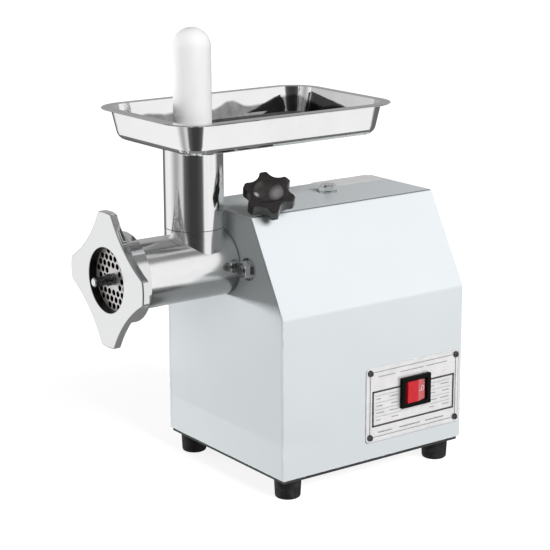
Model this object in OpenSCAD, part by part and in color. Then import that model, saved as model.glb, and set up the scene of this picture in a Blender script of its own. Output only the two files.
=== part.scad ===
// Electric meat grinder: a folded sheet housing on rubber feet holds a motor and a
// two-stage spur gearbox. The gearbox drives the auger of a removable cutting head,
// which a star knob clamps in the gearbox socket.
// The head points along -Y, the switch is on +X, and the feet stand on Z = 0.

/* [Housing] */
// Width of the housing across its side walls
body_w = 170; // [168:1:180]
// Depth of the housing from the front face to the rear lip
body_d = 190; // [190:1:220]
// Height of the upright part of the side walls
shoulder_h = 136; // [125:1:140]
// Height of the housing from its lower edge to the roof
body_h = 213; // [212:0.5:225]
// Width of the flat roof
roof_w = 84; // [80:1:95]
// Thickness of the housing sheet
sheet_t = 1.5; // [1:0.1:1.6]
// Outer radius of the folds
bend_r = 4; // [4:0.5:6]
// Width of the lip folded round the front edge
lip_w = 2.2; // [2:0.1:2.3]
// Width of the lip that the rear panel is screwed to
rear_lip_w = 13; // [11:0.5:16]
// Width of the flanges folded in along the lower edges
floor_flange_w = 25; // [23:1:28]
// Depth of the front panel's side flanges
panel_flange_d = 14; // [8:1:20]

/* [Base and feet] */
// Thickness of the base plate
base_t = 3; // [2:0.5:4]
// Distance of the base plate's edge inside the housing
base_inset = 1.5; // [1:0.5:3]
// Height of the rubber feet
foot_h = 17; // [12:1:25]
// Diameter of the rubber feet at the top
foot_d = 23; // [20:1:26]
// Taper of the feet from top to bottom, on the diameter
foot_taper = 1.5; // [0:0.5:3]
// Distance of the foot centres from the side faces
foot_side = 15; // [14:0.5:16]
// Distance of the foot centres from the front and rear faces
foot_end = 15; // [14:0.5:20]
// Diameter of the foot screws
foot_screw_d = 6; // [5:0.5:6]
// Length of a vent slot in the base plate
base_slot_l = 30; // [20:1:40]
// Number of vent slots in each row of the base plate
base_slots = 6; // [3:1:7]

/* [Rear panel] */
// Number of louvres in each column
louvres = 7; // [4:1:8]
// Length of a louvre
louvre_l = 46; // [30:1:50]
// How far the louvre hoods stand out
louvre_out = 4; // [3:0.5:5]
// Spacing of the louvres
louvre_pitch = 12; // [11:0.5:13]
// Diameter of the cord that the cable gland takes
cord_d = 8.4; // [6:0.2:10]
// Outer diameter of the gland's dome nut
gland_d = 19; // [16:0.5:20]
// How far the cable gland stands out of the rear panel
gland_out = 12; // [10:1:16]

/* [Switch and name plate] */
// Length of the name plate
plate_l = 103; // [96:1:104]
// Height of the name plate
plate_h = 65; // [56:1:70]
// Thickness of the name plate
plate_t = 0.8; // [0.5:0.1:1]
// Height of the name plate's centre above the housing's lower edge
plate_rise = 47.5; // [44:0.5:50]
// Distance of the name plate's centre from the front face
plate_y = 136.5; // [134:0.5:138]
// Inset of the name plate's screws from its edges
plate_screw_in = 4.2; // [3.5:0.1:6]
// Length of the switch bezel along the side wall
bezel_l = 31.5; // [30:0.5:34]
// Height of the switch bezel
bezel_h = 26.5; // [25:0.5:28]
// Distance of the switch centre from the front face
switch_y = 137.5; // [134:0.5:140]
// Height of the switch centre above the housing's lower edge
switch_rise = 52.5; // [48:0.5:55]
// How far the bezel stands out of the name plate
bezel_out = 3.4; // [2.5:0.1:3.6]
// Depth of the switch case behind the side wall
switch_depth = 21; // [16:1:22]
// Length of the rocker
rocker_l = 22.6; // [21:0.1:24]
// Height of the rocker
rocker_h = 18.8; // [17:0.1:20]
// Travel of the rocker from off to on, in degrees
rocker_travel = 20; // [14:1:22]

/* [Head] */
// Height of the head's axis above the housing's lower edge
head_rise = 169.5; // [168:0.5:172]
// Outer diameter of the barrel
barrel_d = 56; // [54:0.5:58]
// Bore of the barrel
barrel_bore = 49.4; // [48:0.2:50]
// Distance from the front face to the barrel's mouth
barrel_l = 104; // [98:1:110]
// Diameter of the threaded mouth that takes the ring nut
mouth_d = 68; // [67.6:0.1:68.4]
// Length of the threaded mouth
mouth_l = 11; // [9:0.5:13]
// Radius of the rounded rear edge of the barrel
barrel_edge_r = 4; // [2:0.5:6]
// Diameter of the spigot that plugs into the gearbox
spigot_d = 46; // [44:0.5:46]
// Length of the spigot behind the front face
spigot_l = 42; // [41:0.5:43]
// Outer diameter of the feed tube
tube_d = 48.8; // [46:0.2:50]
// Wall of the feed tube
tube_wall = 2; // [1.5:0.1:2.2]
// Distance from the front face to the feed tube's axis
tube_y = 27.6; // [26:0.2:32]
// Height of the joint between casting and feed tube, above the head's axis
joint_rise = 33; // [31:0.5:38]
// Height of the feed tube's top above the head's axis
tube_rise = 101; // [90:1:110]

/* [Cutting set] */
// Diameter of the grinding plate
cutter_d = 62; // [61:0.2:62.4]
// Thickness of the grinding plate
cutter_t = 8; // [6:0.5:9]
// Diameter of the holes in the grinding plate
cutter_hole_d = 4.9; // [4:0.1:5.2]
// Spacing of the holes in the grinding plate
cutter_pitch = 6.4; // [6:0.1:8]
// Diameter of the hub without holes
cutter_hub_d = 17; // [14:1:20]
// Diameter across the knife's blades
knife_d = 48; // [44:1:48]
// Thickness of the knife
knife_t = 9; // [7:0.5:10]
// Side of the square that drives the knife
drive_square = 14; // [13:0.5:16]
// Diameter of the auger flight
auger_d = 48.4; // [46:0.2:48.4]
// Pitch of the auger flight
auger_pitch = 30; // [26:1:34]
// Core diameter of the auger at its front end
auger_core_front = 22; // [21:1:26]
// Core diameter of the auger at its rear end
auger_core_rear = 28; // [26:1:32]
// Diameter of the auger's rear journal
journal_d = 25; // [23:0.5:26]
// Diameter of the auger pin where it runs in the grinding plate
pin_d = 9.6; // [9:0.1:10]
// Diameter of the auger pin's nose
pin_nose_d = 7.4; // [6:0.1:8]
// How far the auger pin stands out of the grinding plate
pin_out = 18.4; // [14:0.1:22]
// Length of the pin's thick part in front of the grinding plate
pin_collar_l = 8; // [5:0.5:10]

/* [Ring nut] */
// Diameter over the ring nut's lobes
lobe_d = 111; // [104:1:116]
// Width of a lobe's end
lobe_w = 19; // [16:1:24]
// Diameter of the circle that the hollows between the lobes touch
valley_d = 81; // [78:1:86]
// Radius of the lobes' corners
lobe_corner_r = 3.5; // [2:0.5:4]
// Thickness of the lobed plate
lobe_t = 6; // [4:0.5:6.5]
// Diameter of the ring nut's opening
ring_mouth_d = 52.4; // [50:0.2:55]
// Thickness of the lip that holds the grinding plate
ring_lip_t = 7; // [7:0.5:8]
// Outer diameter of the ring nut's skirt
skirt_d = 73.6; // [72.6:0.2:76]
// Length of the skirt behind the lip
skirt_l = 13; // [10:0.5:14]

/* [Tray and pusher] */
// Width of the tray over its rim
tray_w = 144.6; // [130:0.2:160]
// Length of the tray over its rim
tray_l = 216.4; // [200:0.2:230]
// Distance from the tray's front rim to the feed tube's axis
tray_front = 54.8; // [52:0.2:62]
// Depth of the tray from rim to floor
tray_depth = 27; // [22:0.5:32]
// Width of the tray's flat rim
rim_w = 8; // [6:0.5:10]
// Radius of the rim's corners in plan
tray_corner_r = 29; // [27:1:34]
// Draft of the tray walls from rim to floor
tray_draft = 4; // [2:0.5:6]
// Radius of the fold between the tray's walls and floor
tray_fold_r = 9; // [6:0.5:11]
// Sheet thickness of the tray
tray_t = 1; // [0.8:0.1:1.2]
// Length of the tray's neck inside the feed tube
neck_l = 18; // [12:1:24]
// Diameter of the pusher's rod
pusher_d = 31.2; // [28:0.2:33]
// Height of the pusher's top above the head's axis
pusher_rise = 194.3; // [180:0.1:210]
// Diameter of the pusher's foot
pusher_foot_d = 40.6; // [38:0.2:40.8]
// Height of the pusher's foot
pusher_foot_h = 22; // [14:1:30]

/* [Head clamp] */
// Angle of the clamp screw round the head's axis, from upright
clamp_roll = 35.5; // [34:0.5:37]
// Lean of the clamp screw towards the front
clamp_tilt = 20; // [18:0.5:21]
// Distance from the front face to where the screw's line meets the head's axis
clamp_y = 43.5; // [43:0.5:45]
// Distance along the screw's line from the head's axis to the knob's face
knob_reach = 83.5; // [82:0.5:86]
// Diameter over the knob's lobes
knob_d = 43; // [40:0.5:45]
// Number of lobes on the knob
knob_lobes = 6; // [5:1:7]
// Thickness of the knob's lobed rim
knob_t = 12.5; // [10:0.5:12.5]
// Diameter of the hollow in the knob's face
knob_dish_d = 26; // [22:0.5:28]
// Depth of the hollow in the knob's face
knob_dish = 5; // [2:0.5:5]
// Length of the knob's hub behind the rim
knob_hub_l = 5; // [3:0.5:5]
// Diameter of the clamp stud
stud_d = 10; // [8:0.5:11]
// Diameter of the boss that the clamp stud is threaded in
clamp_boss_d = 20; // [18:0.5:21]
// Distance along the screw's line from the head's axis to the boss's end
clamp_boss_reach = 44; // [40:0.5:45]

/* [Gearbox] */
// Module of the first gear stage
module_1 = 1.25; // [1.25:0.01:1.27]
// Module of the second gear stage
module_2 = 2; // [1.98:0.01:2.02]
// Teeth of the motor pinion
motor_teeth = 16; // [16:1:16]
// Teeth of the large idler gear
idler_teeth = 64; // [64:1:64]
// Teeth of the idler pinion
pinion_teeth = 18; // [18:1:18]
// Teeth of the output gear
output_teeth = 36; // [36:1:36]
// Face width of the large idler gear
face_1 = 12; // [10:0.5:13]
// Face width of the output gear
face_2 = 15; // [12:0.5:16]
// Wall of the gearbox castings
case_wall = 3; // [2.5:0.1:3.1]
// Outer diameter of the socket tube that holds the spigot
socket_d = 64; // [60:1:64]
// Distance of the front studs from the head's axis
front_stud_x = 38; // [37:0.5:40]
// Diameter of the front studs
front_stud_d = 8; // [6:0.5:8]
// Width across the flats of the front nuts
front_nut_af = 13; // [11:0.5:14]
// Outer diameter of the front washers
front_washer_d = 18.8; // [16:0.2:20]
// Thickness of the gearbox gasket
gasket_t = 0.5; // [0.3:0.1:0.8]

/* [Motor] */
// Outer diameter of the motor shell
motor_d = 100; // [94:1:102]
// Wall of the motor shell
shell_t = 1.5; // [1:0.1:2]
// Length of the lamination stacks
stack_l = 38; // [30:1:40]
// Bore of the stator
stator_bore = 50; // [46:0.5:52]
// Gap between rotor and stator
air_gap = 0.4; // [0.3:0.1:0.6]
// Number of stator slots
stator_slots = 24; // [18:1:24]
// Length of the motor shell
shell_l = 64; // [60:1:66]
// Diameter of the fan
fan_d = 84; // [70:1:90]
// Number of fan blades
fan_blades = 9; // [6:1:11]
// Distance of the tie bolts from the motor's axis
tie_r = 54.5; // [54:0.5:56]
// Diameter of the run capacitor
capacitor_d = 28; // [24:1:30]
// Length of the run capacitor
capacitor_l = 55; // [45:1:60]

/* [Roof bolt] */
// Distance of the roof bolt from the housing's middle plane
bolt_x = -3; // [-8:0.5:4]
// Distance of the roof bolt from the front face
bolt_y = 112.3; // [111:0.1:116]
// Width across the flats of the roof bolt's head
bolt_af = 13; // [11:0.5:14]

/* [Hidden] */
$fn = 64;

// Clearances
run_gap = 0.05;     // a shaft turning or sliding in its bore, on the radius
seat_gap = 0.05;    // a piece seated in another piece of the same body
free_gap = 0.3;     // neighbouring pieces that move apart
sheet_gap = 0.2;    // the joint line between two sheets

// Heights of the main levels
bottom_z = foot_h + base_t;
head_z = bottom_z + head_rise;
roof_z = bottom_z + body_h;
centre_1 = module_1 * (motor_teeth + idler_teeth) / 2;
centre_2 = module_2 * (pinion_teeth + output_teeth) / 2;
idler_z = head_z - centre_2;
motor_z = idler_z - centre_1;
tube_top_z = head_z + tube_rise;
rim_z = tube_top_z + tray_depth;

// Places along Y, measured from the housing's front face
plate_face_y = -barrel_l - 1;
plate_back_y = plate_face_y + cutter_t;
ring_face_y = plate_face_y - ring_lip_t;
knife_back_y = plate_back_y + knife_t;
auger_front_y = knife_back_y + 0.5;
pin_tip_y = plate_face_y - pin_out;
gland_tip_y = body_d + sheet_t + gland_out;
front_y = -(pin_tip_y + gland_tip_y) / 2;
floor_y = -6;

// Bearings: bore radius, outer radius, width
bearing_25 = [12.5, 23.5, 12];
bearing_17 = [8.5, 20, 12];
bearing_15 = [7.5, 17.5, 11];

// Gearbox stations
socket_end_y = spigot_l + 1;
output_front_y = socket_end_y + 2;
case_front_y = output_front_y + bearing_25[2] - 3;
output_gear_y = output_front_y + bearing_25[2] + 2;
idler_gear_y = output_gear_y + face_2 + 3;
case_back_y = idler_gear_y + face_1 + 1.5;
cover_front_y = case_back_y + gasket_t;
rear_bearing_y = cover_front_y + 1;
cover_back_y = rear_bearing_y + bearing_17[2];
output_tip_r = module_2 * (output_teeth / 2 + 1);
idler_tip_r = module_1 * (idler_teeth / 2 + 1);
output_room_r = output_tip_r + 0.6;
idler_room_r = idler_tip_r + 1.2;
motor_room_r = 18;
idler_boss_r = bearing_15[1] + case_wall;

// Motor stations
motor_r = motor_d / 2;
stack_y = cover_back_y + 12;
end_bearing_in = 3;
end_shield_lip = 0.5;
fan_room = 1.5;
fan_t = 7;
fan_seat_r = 6;
shaft_out = 1;
motor_end_gap = 4;  // from the shaft's end to the rear panel
motor_tail_l = bearing_15[2] - end_bearing_in + end_shield_lip + fan_room + fan_t + shaft_out;
shell_end_y = body_d - motor_end_gap - motor_tail_l;
motor_extra = shell_end_y - cover_back_y - shell_l;  // depth the housing has over the motor's own
stack_len = stack_l + motor_extra;
end_bearing_y = shell_end_y - end_bearing_in;
end_shield_y = end_bearing_y + bearing_15[2] + end_shield_lip;
fan_y = end_shield_y + fan_room;
ear_r = 6;

// House-shaped section of the housing: normal of the slanted sides and its angle
slant_dx = (body_w - roof_w) / 2;
slant_dz = body_h - shoulder_h;
slant_l = sqrt(slant_dx * slant_dx + slant_dz * slant_dz);
slant_nx = slant_dz / slant_l;
slant_nz = slant_dx / slant_l;
slant_a = atan2(slant_nz, slant_nx);

// Points along an arc of radius r about c, from angle a0 to a1 in n steps
function arc(c, r, a0, a1, n) = [for (i = [0:n]) let (a = a0 + (a1 - a0) * i / n) c + r * [cos(a), sin(a)]];
function mirrored(points) = [for (i = [len(points) - 1:-1:0]) [-points[i][0], points[i][1]]];

function shoulder_point(d) = [body_w / 2 - d, bottom_z + shoulder_h - d * (1 - slant_nx) / slant_nz];
function roof_point(d) = [roof_w / 2 - d * (1 - slant_nz) / slant_nx, roof_z - d];

// Right half of the housing's section, inset by d, from the lower edge up to the roof
function half_house(d, low) = concat(
  [[body_w / 2 - d, low]],
  arc(shoulder_point(bend_r), bend_r - d, 0, slant_a, 3),
  arc(roof_point(bend_r), bend_r - d, slant_a, 90, 5));
function house(d, low) = concat(half_house(d, low), mirrored(half_house(d, low)));

// Everything is drawn with the housing's front face at Y = 0, then set in its place
module placed() {
  translate([0, front_y, 0]) children();
}

// Extrudes a section drawn in X and Z from y0 to y1
module along_y(y0, y1) {
  translate([0, y1, 0]) rotate([90, 0, 0]) linear_extrude(height = y1 - y0) children();
}

// A cylinder or cone along Y, centred on X and Z
module rod(x, z, r, y0, y1, r_end = -1) {
  translate([x, y0, z]) rotate([-90, 0, 0])
    cylinder(r1 = r, r2 = r_end < 0 ? r : r_end, h = y1 - y0);
}

module ring(x, z, r_out, r_in, y0, y1) {
  difference() {
    rod(x, z, r_out, y0, y1);
    rod(x, z, r_in, y0 - 1, y1 + 1);
  }
}

// A box given by its two corners
module box(low, high) {
  translate(low) cube(high - low);
}

// Carries its children to the head's axis, with +Z along -Y, towards the mouth
module on_axis(z) {
  translate([0, 0, z]) rotate([90, 0, 0]) children();
}

// The four foot places
module at_feet() {
  for (x = [-1, 1], y = [foot_end, body_d - foot_end])
    translate([x * (body_w / 2 - foot_side), y, 0]) children();
}

// The clamp screw's line: origin on the head's axis, +Z out through the roof
module on_clamp() {
  translate([0, clamp_y, head_z]) rotate([0, clamp_roll, 0]) rotate([clamp_tilt, 0, 0]) children();
}

// Two round ends and the flat web between them, as one prism along Y
module link_y(z_a, r_a, z_b, r_b, y0, y1) {
  reach = z_a - z_b;
  lean = asin((r_b - r_a) / reach);
  rod(0, z_a, r_a, y0, y1);
  rod(0, z_b, r_b, y0, y1);
  along_y(y0, y1) polygon([
    [r_a * cos(lean), z_a + r_a * sin(lean)], [r_b * cos(lean), z_b + r_b * sin(lean)],
    [-r_b * cos(lean), z_b + r_b * sin(lean)], [-r_a * cos(lean), z_a + r_a * sin(lean)]]);
}

// Pan-head screw with a shank of diameter d: head on Z = 0 upwards, shank downwards
module pan_screw(d) {
  head_d = d * 1.9;
  head_h = d * 0.62;
  shank_l = d * 2;
  difference() {
    union() {
      cylinder(d1 = head_d, d2 = head_d * 0.8, h = head_h);
      translate([0, 0, -shank_l]) cylinder(d = d, h = shank_l + head_h / 2);
    }
    translate([-head_d, -0.4, head_h * 0.55]) cube([2 * head_d, 0.8, head_h]);
    translate([-0.4, -head_d, head_h * 0.55]) cube([0.8, 2 * head_d, head_h]);
  }
}

// Hexagon nut of width af across the flats, with chamfered corners and a bore
module hex_nut(af, h, bore_d) {
  face_r = af * 0.49;
  corner_r = af / cos(30) / 2;
  chamfer = (corner_r - face_r) * tan(30);
  difference() {
    intersection() {
      cylinder(r = corner_r, h = h, $fn = 6);
      rotate_extrude() polygon([[0, 0], [face_r, 0], [corner_r, chamfer],
        [corner_r, h - chamfer], [face_r, h], [0, h]]);
    }
    translate([0, 0, -1]) cylinder(d = bore_d, h = h + 2);
  }
}

// ---------------------------------------------------------------- housing

module cover() {
  floor_z = bottom_z + sheet_t;
  color("gainsboro") placed() difference() {
    along_y(0, body_d) polygon(house(0, bottom_z));
    along_y(sheet_t, body_d - sheet_t) polygon(house(sheet_t, floor_z));
    along_y(-1, sheet_t + 1) polygon(house(lip_w, bottom_z - 1));
    along_y(body_d - sheet_t - 1, body_d + 1) polygon(rear_window());
    box([-body_w / 2 + floor_flange_w, -1, bottom_z - 1],
        [body_w / 2 - floor_flange_w, body_d + 1, floor_z + 1]);
    box([-body_w / 2 + lip_w, -1, bottom_z - 1], [body_w / 2 - lip_w, sheet_t + 1.5, floor_z]);
    at_feet() translate([0, 0, bottom_z - 1]) cylinder(d = foot_screw_d + 0.6, h = sheet_t + 2);
    on_clamp() cylinder(d = stud_d + 6, h = knob_reach);
    translate([bolt_x, bolt_y, roof_z - sheet_t - 1]) cylinder(d = 9, h = sheet_t + 2);
    switch_hole();
    at_plate_screws() translate([0, 0, -5]) cylinder(d = plate_screw_d + 0.4, h = 10);
    at_rear_screws() translate([0, 0, -6]) cylinder(d = rear_screw_d + 0.2, h = 12);
  }
}

// Opening inside the rear lip
function rear_window() = [
  [body_w / 2 - rear_lip_w, bottom_z - 1],
  [body_w / 2 - rear_lip_w, bottom_z + shoulder_h - 6],
  [roof_w / 2 - rear_lip_w / 2, roof_z - rear_lip_w],
  [-roof_w / 2 + rear_lip_w / 2, roof_z - rear_lip_w],
  [-body_w / 2 + rear_lip_w, bottom_z + shoulder_h - 6],
  [-body_w / 2 + rear_lip_w, bottom_z - 1]];

module front_panel() {
  edge = lip_w + sheet_gap;
  color("silver") placed() difference() {
    union() {
      along_y(0, sheet_t) polygon(house(edge, bottom_z));
      difference() {
        along_y(0, panel_flange_d) polygon(house(edge, bottom_z + sheet_t + 1));
        along_y(-1, panel_flange_d + 1) polygon(house(edge + sheet_t, bottom_z));
      }
    }
    rod(0, head_z, spigot_d / 2 + 1, -1, sheet_t + 1);
    for (x = [-1, 1]) rod(x * front_stud_x, head_z, front_stud_d / 2 + 0.5, -1, sheet_t + 1);
    on_clamp() cylinder(d = stud_d + 6, h = knob_reach);
  }
}

// The rear panel's screws: two on the roof lip and two pairs down the sides
module at_rear_screws() {
  side_x = body_w / 2 - rear_lip_w / 2;
  roof_x = roof_w / 2 - rear_lip_w;
  for (s = [-1, 1]) {
    for (z = [bottom_z + 22, bottom_z + shoulder_h - 24])
      translate([s * side_x, body_d + sheet_t, z]) rotate([-90, 0, 0]) children();
    translate([s * roof_x, body_d + sheet_t, roof_z - rear_lip_w / 2]) rotate([-90, 0, 0]) children();
  }
}

module at_louvres() {
  for (s = [-1, 1], i = [0:louvres - 1])
    translate([s * (louvre_l / 2 + 6), body_d, motor_z + 9 + (i - (louvres - 1) / 2) * louvre_pitch])
      children();
}

// A pressed hood, closed at the top and open below
module louvre_hood(grow, length) {
  translate([-length / 2, 0, 0]) rotate([0, 90, 0]) cylinder(r = louvre_out + sheet_t - grow, h = length);
}

module rear_panel() {
  color("gainsboro") placed() difference() {
    union() {
      along_y(body_d, body_d + sheet_t) polygon(house(1, bottom_z));
      at_louvres() intersection() {
        louvre_hood(0, louvre_l);
        box([-louvre_l, 0, 0], [louvre_l, 2 * louvre_out + 4, 2 * louvre_out + 4]);
      }
    }
    at_louvres() {
      louvre_hood(1, louvre_l - 2);
      box([-louvre_l / 2 + 1, -1, -louvre_out], [louvre_l / 2 - 1, louvre_out * 2, 0]);
    }
    rod(gland_x, gland_z, gland_d / 2 - 2, body_d - 1, body_d + sheet_t + 1);
    at_rear_screws() translate([0, 0, -6]) cylinder(d = rear_screw_d + 0.4, h = 12);
  }
}

rear_screw_d = 3.2;

module rear_screws() {
  color("silver") placed() at_rear_screws() pan_screw(rear_screw_d);
}

base_web = 8;
base_slot_w = 3.5;
base_slot_pitch = 8;
base_slot_y = (cover_back_y + shell_end_y) / 2 - 18;

module base_plate() {
  edge_x = body_w / 2 - base_inset;
  color("#1c1d1f") placed() difference() {
    box([-edge_x, base_inset, foot_h], [edge_x, body_d - base_inset, bottom_z]);
    at_feet() translate([0, 0, foot_h - 1]) cylinder(d = foot_screw_d + 0.4, h = base_t + 2);
    for (s = [-1, 1], i = [0:base_slots - 1]) {
      row_y = base_slot_y + (i - (base_slots - 1) / 2) * base_slot_pitch;
      translate([s * (base_slot_l + base_web) / 2, row_y, foot_h - 1])
        vent_slot(base_slot_l, base_slot_w, base_t + 2);
    }
    at_cradle_screws() translate([0, 0, -1]) cylinder(d = cradle_screw_d + 0.4, h = base_t + 2);
  }
}

module vent_slot(l, w, h) {
  for (s = [-1, 1]) translate([s * (l - w) / 2, 0, 0]) cylinder(d = w, h = h);
  translate([-(l - w) / 2, -w / 2, 0]) cube([l - w, w, h]);
}

foot_head_d = foot_screw_d * 1.9;
foot_head_h = 4;
foot_web = 7;
foot_nut_h = foot_screw_d * 0.8;

module feet() {
  r_top = foot_d / 2;
  r_low = r_top - foot_taper / 2;
  edge = 2;
  color("#202123") placed() at_feet() difference() {
    rotate_extrude() polygon(concat(
      [[0, 0]], arc([r_low - edge, edge], edge, -90, 0, 4), [[r_top, foot_h], [0, foot_h]]));
    translate([0, 0, -1]) cylinder(d = foot_head_d + 1, h = foot_h - foot_web + 1);
    cylinder(d = foot_screw_d + 0.4, h = foot_h + 1);
  }
}

module foot_screws() {
  head_z0 = foot_h - foot_web;
  top = bottom_z + sheet_t + foot_nut_h + foot_screw_d / 3;
  color("silver") placed() at_feet() {
    translate([0, 0, head_z0 - foot_head_h]) cylinder(d = foot_head_d, h = foot_head_h);
    translate([0, 0, head_z0 - 0.01]) cylinder(d = foot_screw_d, h = top - head_z0);
  }
}

module foot_nuts() {
  color("silver") placed() at_feet() translate([0, 0, bottom_z + sheet_t])
    hex_nut(foot_screw_d * 1.65, foot_nut_h, foot_screw_d + 2 * seat_gap);
}

module cable_gland() {
  y0 = body_d + sheet_t;
  color("#26272a") placed() translate([gland_x, 0, gland_z]) difference() {
    union() {
      translate([0, y0, 0]) rotate([-90, 0, 0]) cylinder(d = gland_d * 1.16, h = 4, $fn = 6);
      rod(0, 0, gland_d / 2 - 2 - seat_gap, body_d - gland_thread, y0 + 1);
      rod(0, 0, gland_d / 2, y0 + 3.9, y0 + gland_out - 3);
      rod(0, 0, gland_d / 2, y0 + gland_out - 3.01, y0 + gland_out, gland_d / 2 - 3);
    }
    rod(0, 0, cord_d / 2, body_d - gland_thread - 1, y0 + gland_out + 1);
  }
}

gland_x = -body_w / 2 + 29;
gland_z = bottom_z + 22;
gland_thread = 9;

module gland_nut() {
  color("#26272a") placed() translate([gland_x, body_d, gland_z]) rotate([90, 0, 0])
    hex_nut(gland_d + 1, 5, gland_d - 4 + 0.1);
}

// ---------------------------------------------------------------- switch

module at_plate_screws() {
  for (y = [-1, 1], z = [-1, 1])
    translate([body_w / 2 + plate_t, plate_y + y * (plate_l / 2 - plate_screw_in),
               bottom_z + plate_rise + z * (plate_h / 2 - plate_screw_in)])
      rotate([0, 90, 0]) children();
}

case_l = bezel_l - 4;
case_h = bezel_h - 4;

module switch_hole() {
  box([body_w / 2 - 3, switch_y - case_l / 2 - 0.3, bottom_z + switch_rise - case_h / 2 - 0.3],
      [body_w / 2 + 3, switch_y + case_l / 2 + 0.3, bottom_z + switch_rise + case_h / 2 + 0.3]);
}

module name_plate() {
  corner = 3;
  rim = 1;
  color("whitesmoke") placed() difference() {
    translate([body_w / 2, plate_y, bottom_z + plate_rise]) rotate([90, 0, 90]) difference() {
      linear_extrude(height = plate_t + 0.35) rounded_rect(plate_l, plate_h, corner);
      translate([0, 0, plate_t]) linear_extrude(height = 1)
        rounded_rect(plate_l - 2 * rim, plate_h - 2 * rim, corner - rim);
    }
    switch_hole();
    at_plate_screws() translate([0, 0, -3]) cylinder(d = plate_screw_d + 0.4, h = 6);
  }
}

module rounded_rect(l, h, r) {
  polygon(concat(
    arc([l / 2 - r, h / 2 - r], r, 0, 90, 5), arc([-l / 2 + r, h / 2 - r], r, 90, 180, 5),
    arc([-l / 2 + r, -h / 2 + r], r, 180, 270, 5), arc([l / 2 - r, -h / 2 + r], r, 270, 360, 5)));
}

plate_screw_d = 3;

module plate_screws() {
  color("dimgray") placed() at_plate_screws() pan_screw(plate_screw_d);
}

rocker_x = body_w / 2 + plate_t;

module switch_body() {
  x0 = body_w / 2 + plate_t;
  room_l = rocker_l + 1.4;
  room_h = rocker_h + 0.6;
  color("#17181a") placed() translate([0, switch_y, bottom_z + switch_rise]) difference() {
    union() {
      box([x0, -bezel_l / 2, -bezel_h / 2], [x0 + bezel_out, bezel_l / 2, bezel_h / 2]);
      box([body_w / 2 - switch_depth, -case_l / 2, -case_h / 2], [x0 + 1, case_l / 2, case_h / 2]);
      for (y = [-8, 0, 8])
        box([body_w / 2 - switch_depth - 8, y - 0.4, -3.2], [body_w / 2 - switch_depth + 1, y + 0.4, 3.2]);
    }
    box([x0 - 10, -room_l / 2, -room_h / 2], [x0 + bezel_out + 1, room_l / 2, room_h / 2]);
  }
}

// The rocker turns about Z at this distance inside the name plate's face
rocker_pivot_in = 3;

module rocker_profile() {
  half = rocker_l / 2;
  crown = bezel_out + rocker_pivot_in + 0.6;
  drop = half * tan(rocker_travel / 2);
  polygon([[-2, -half * 0.55], [crown - drop - 2.5, -half], [crown - drop, -half + 0.3], [crown, 0],
           [crown - drop, half - 0.3], [crown - drop - 2.5, half], [-2, half * 0.55]]);
}

module rocker() {
  color("#c41a2b") placed()
    translate([rocker_x - rocker_pivot_in, switch_y, bottom_z + switch_rise - rocker_h / 2])
      rotate([0, 0, rocker_travel / 2]) linear_extrude(height = rocker_h) rocker_profile();
}

// ---------------------------------------------------------------- roof bolt

bracket_top = roof_z - sheet_t;
bracket_t = 3;

module roof_bolt() {
  color("lightgray") placed() translate([bolt_x, bolt_y, roof_z]) {
    translate([0, 0, 1.6]) intersection() {
      cylinder(d = bolt_af / cos(30), h = 5.5, $fn = 6);
      cylinder(d1 = bolt_af + 6, d2 = bolt_af - 1.5, h = 5.5);
    }
    translate([0, 0, -15]) cylinder(d = 8, h = 16.8);
  }
}

module roof_washer() {
  color("silver") placed() translate([bolt_x, bolt_y, roof_z]) difference() {
    cylinder(d = 16, h = 1.6);
    translate([0, 0, -1]) cylinder(d = 8.4, h = 4);
  }
}

// Bent bracket on the gearbox cover that the roof bolt screws into
module roof_bracket() {
  half = 14;
  reach = bolt_y + 9;
  leg_low = head_z + 12;
  color("darkgray") placed() difference() {
    union() {
      box([-half, cover_back_y, leg_low], [half, cover_back_y + bracket_t, bracket_top - 4]);
      box([-half, cover_back_y, bracket_top - 4 - bracket_t], [half, reach, bracket_top - 4]);
      translate([bolt_x, bolt_y, bracket_top - 4 - bracket_t]) cylinder(d = 15, h = 4 + bracket_t);
    }
    translate([bolt_x, bolt_y, bracket_top - 20]) cylinder(d = 8 + 2 * seat_gap, h = 30);
    at_bracket_screws() translate([0, 0, -10]) cylinder(d = bracket_screw_d + 1.4, h = 30);
    rod(0, head_z, 16, cover_back_y - 1, cover_back_y + bracket_t + 1);
  }
}

module at_bracket_screws() {
  for (x = [-8, 8]) translate([x, cover_back_y + bracket_t, head_z + 20.5]) rotate([-90, 0, 0]) children();
}

bracket_screw_d = 4;

module bracket_screws() {
  color("silver") placed() at_bracket_screws() pan_screw(bracket_screw_d);
}

// ---------------------------------------------------------------- head

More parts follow.
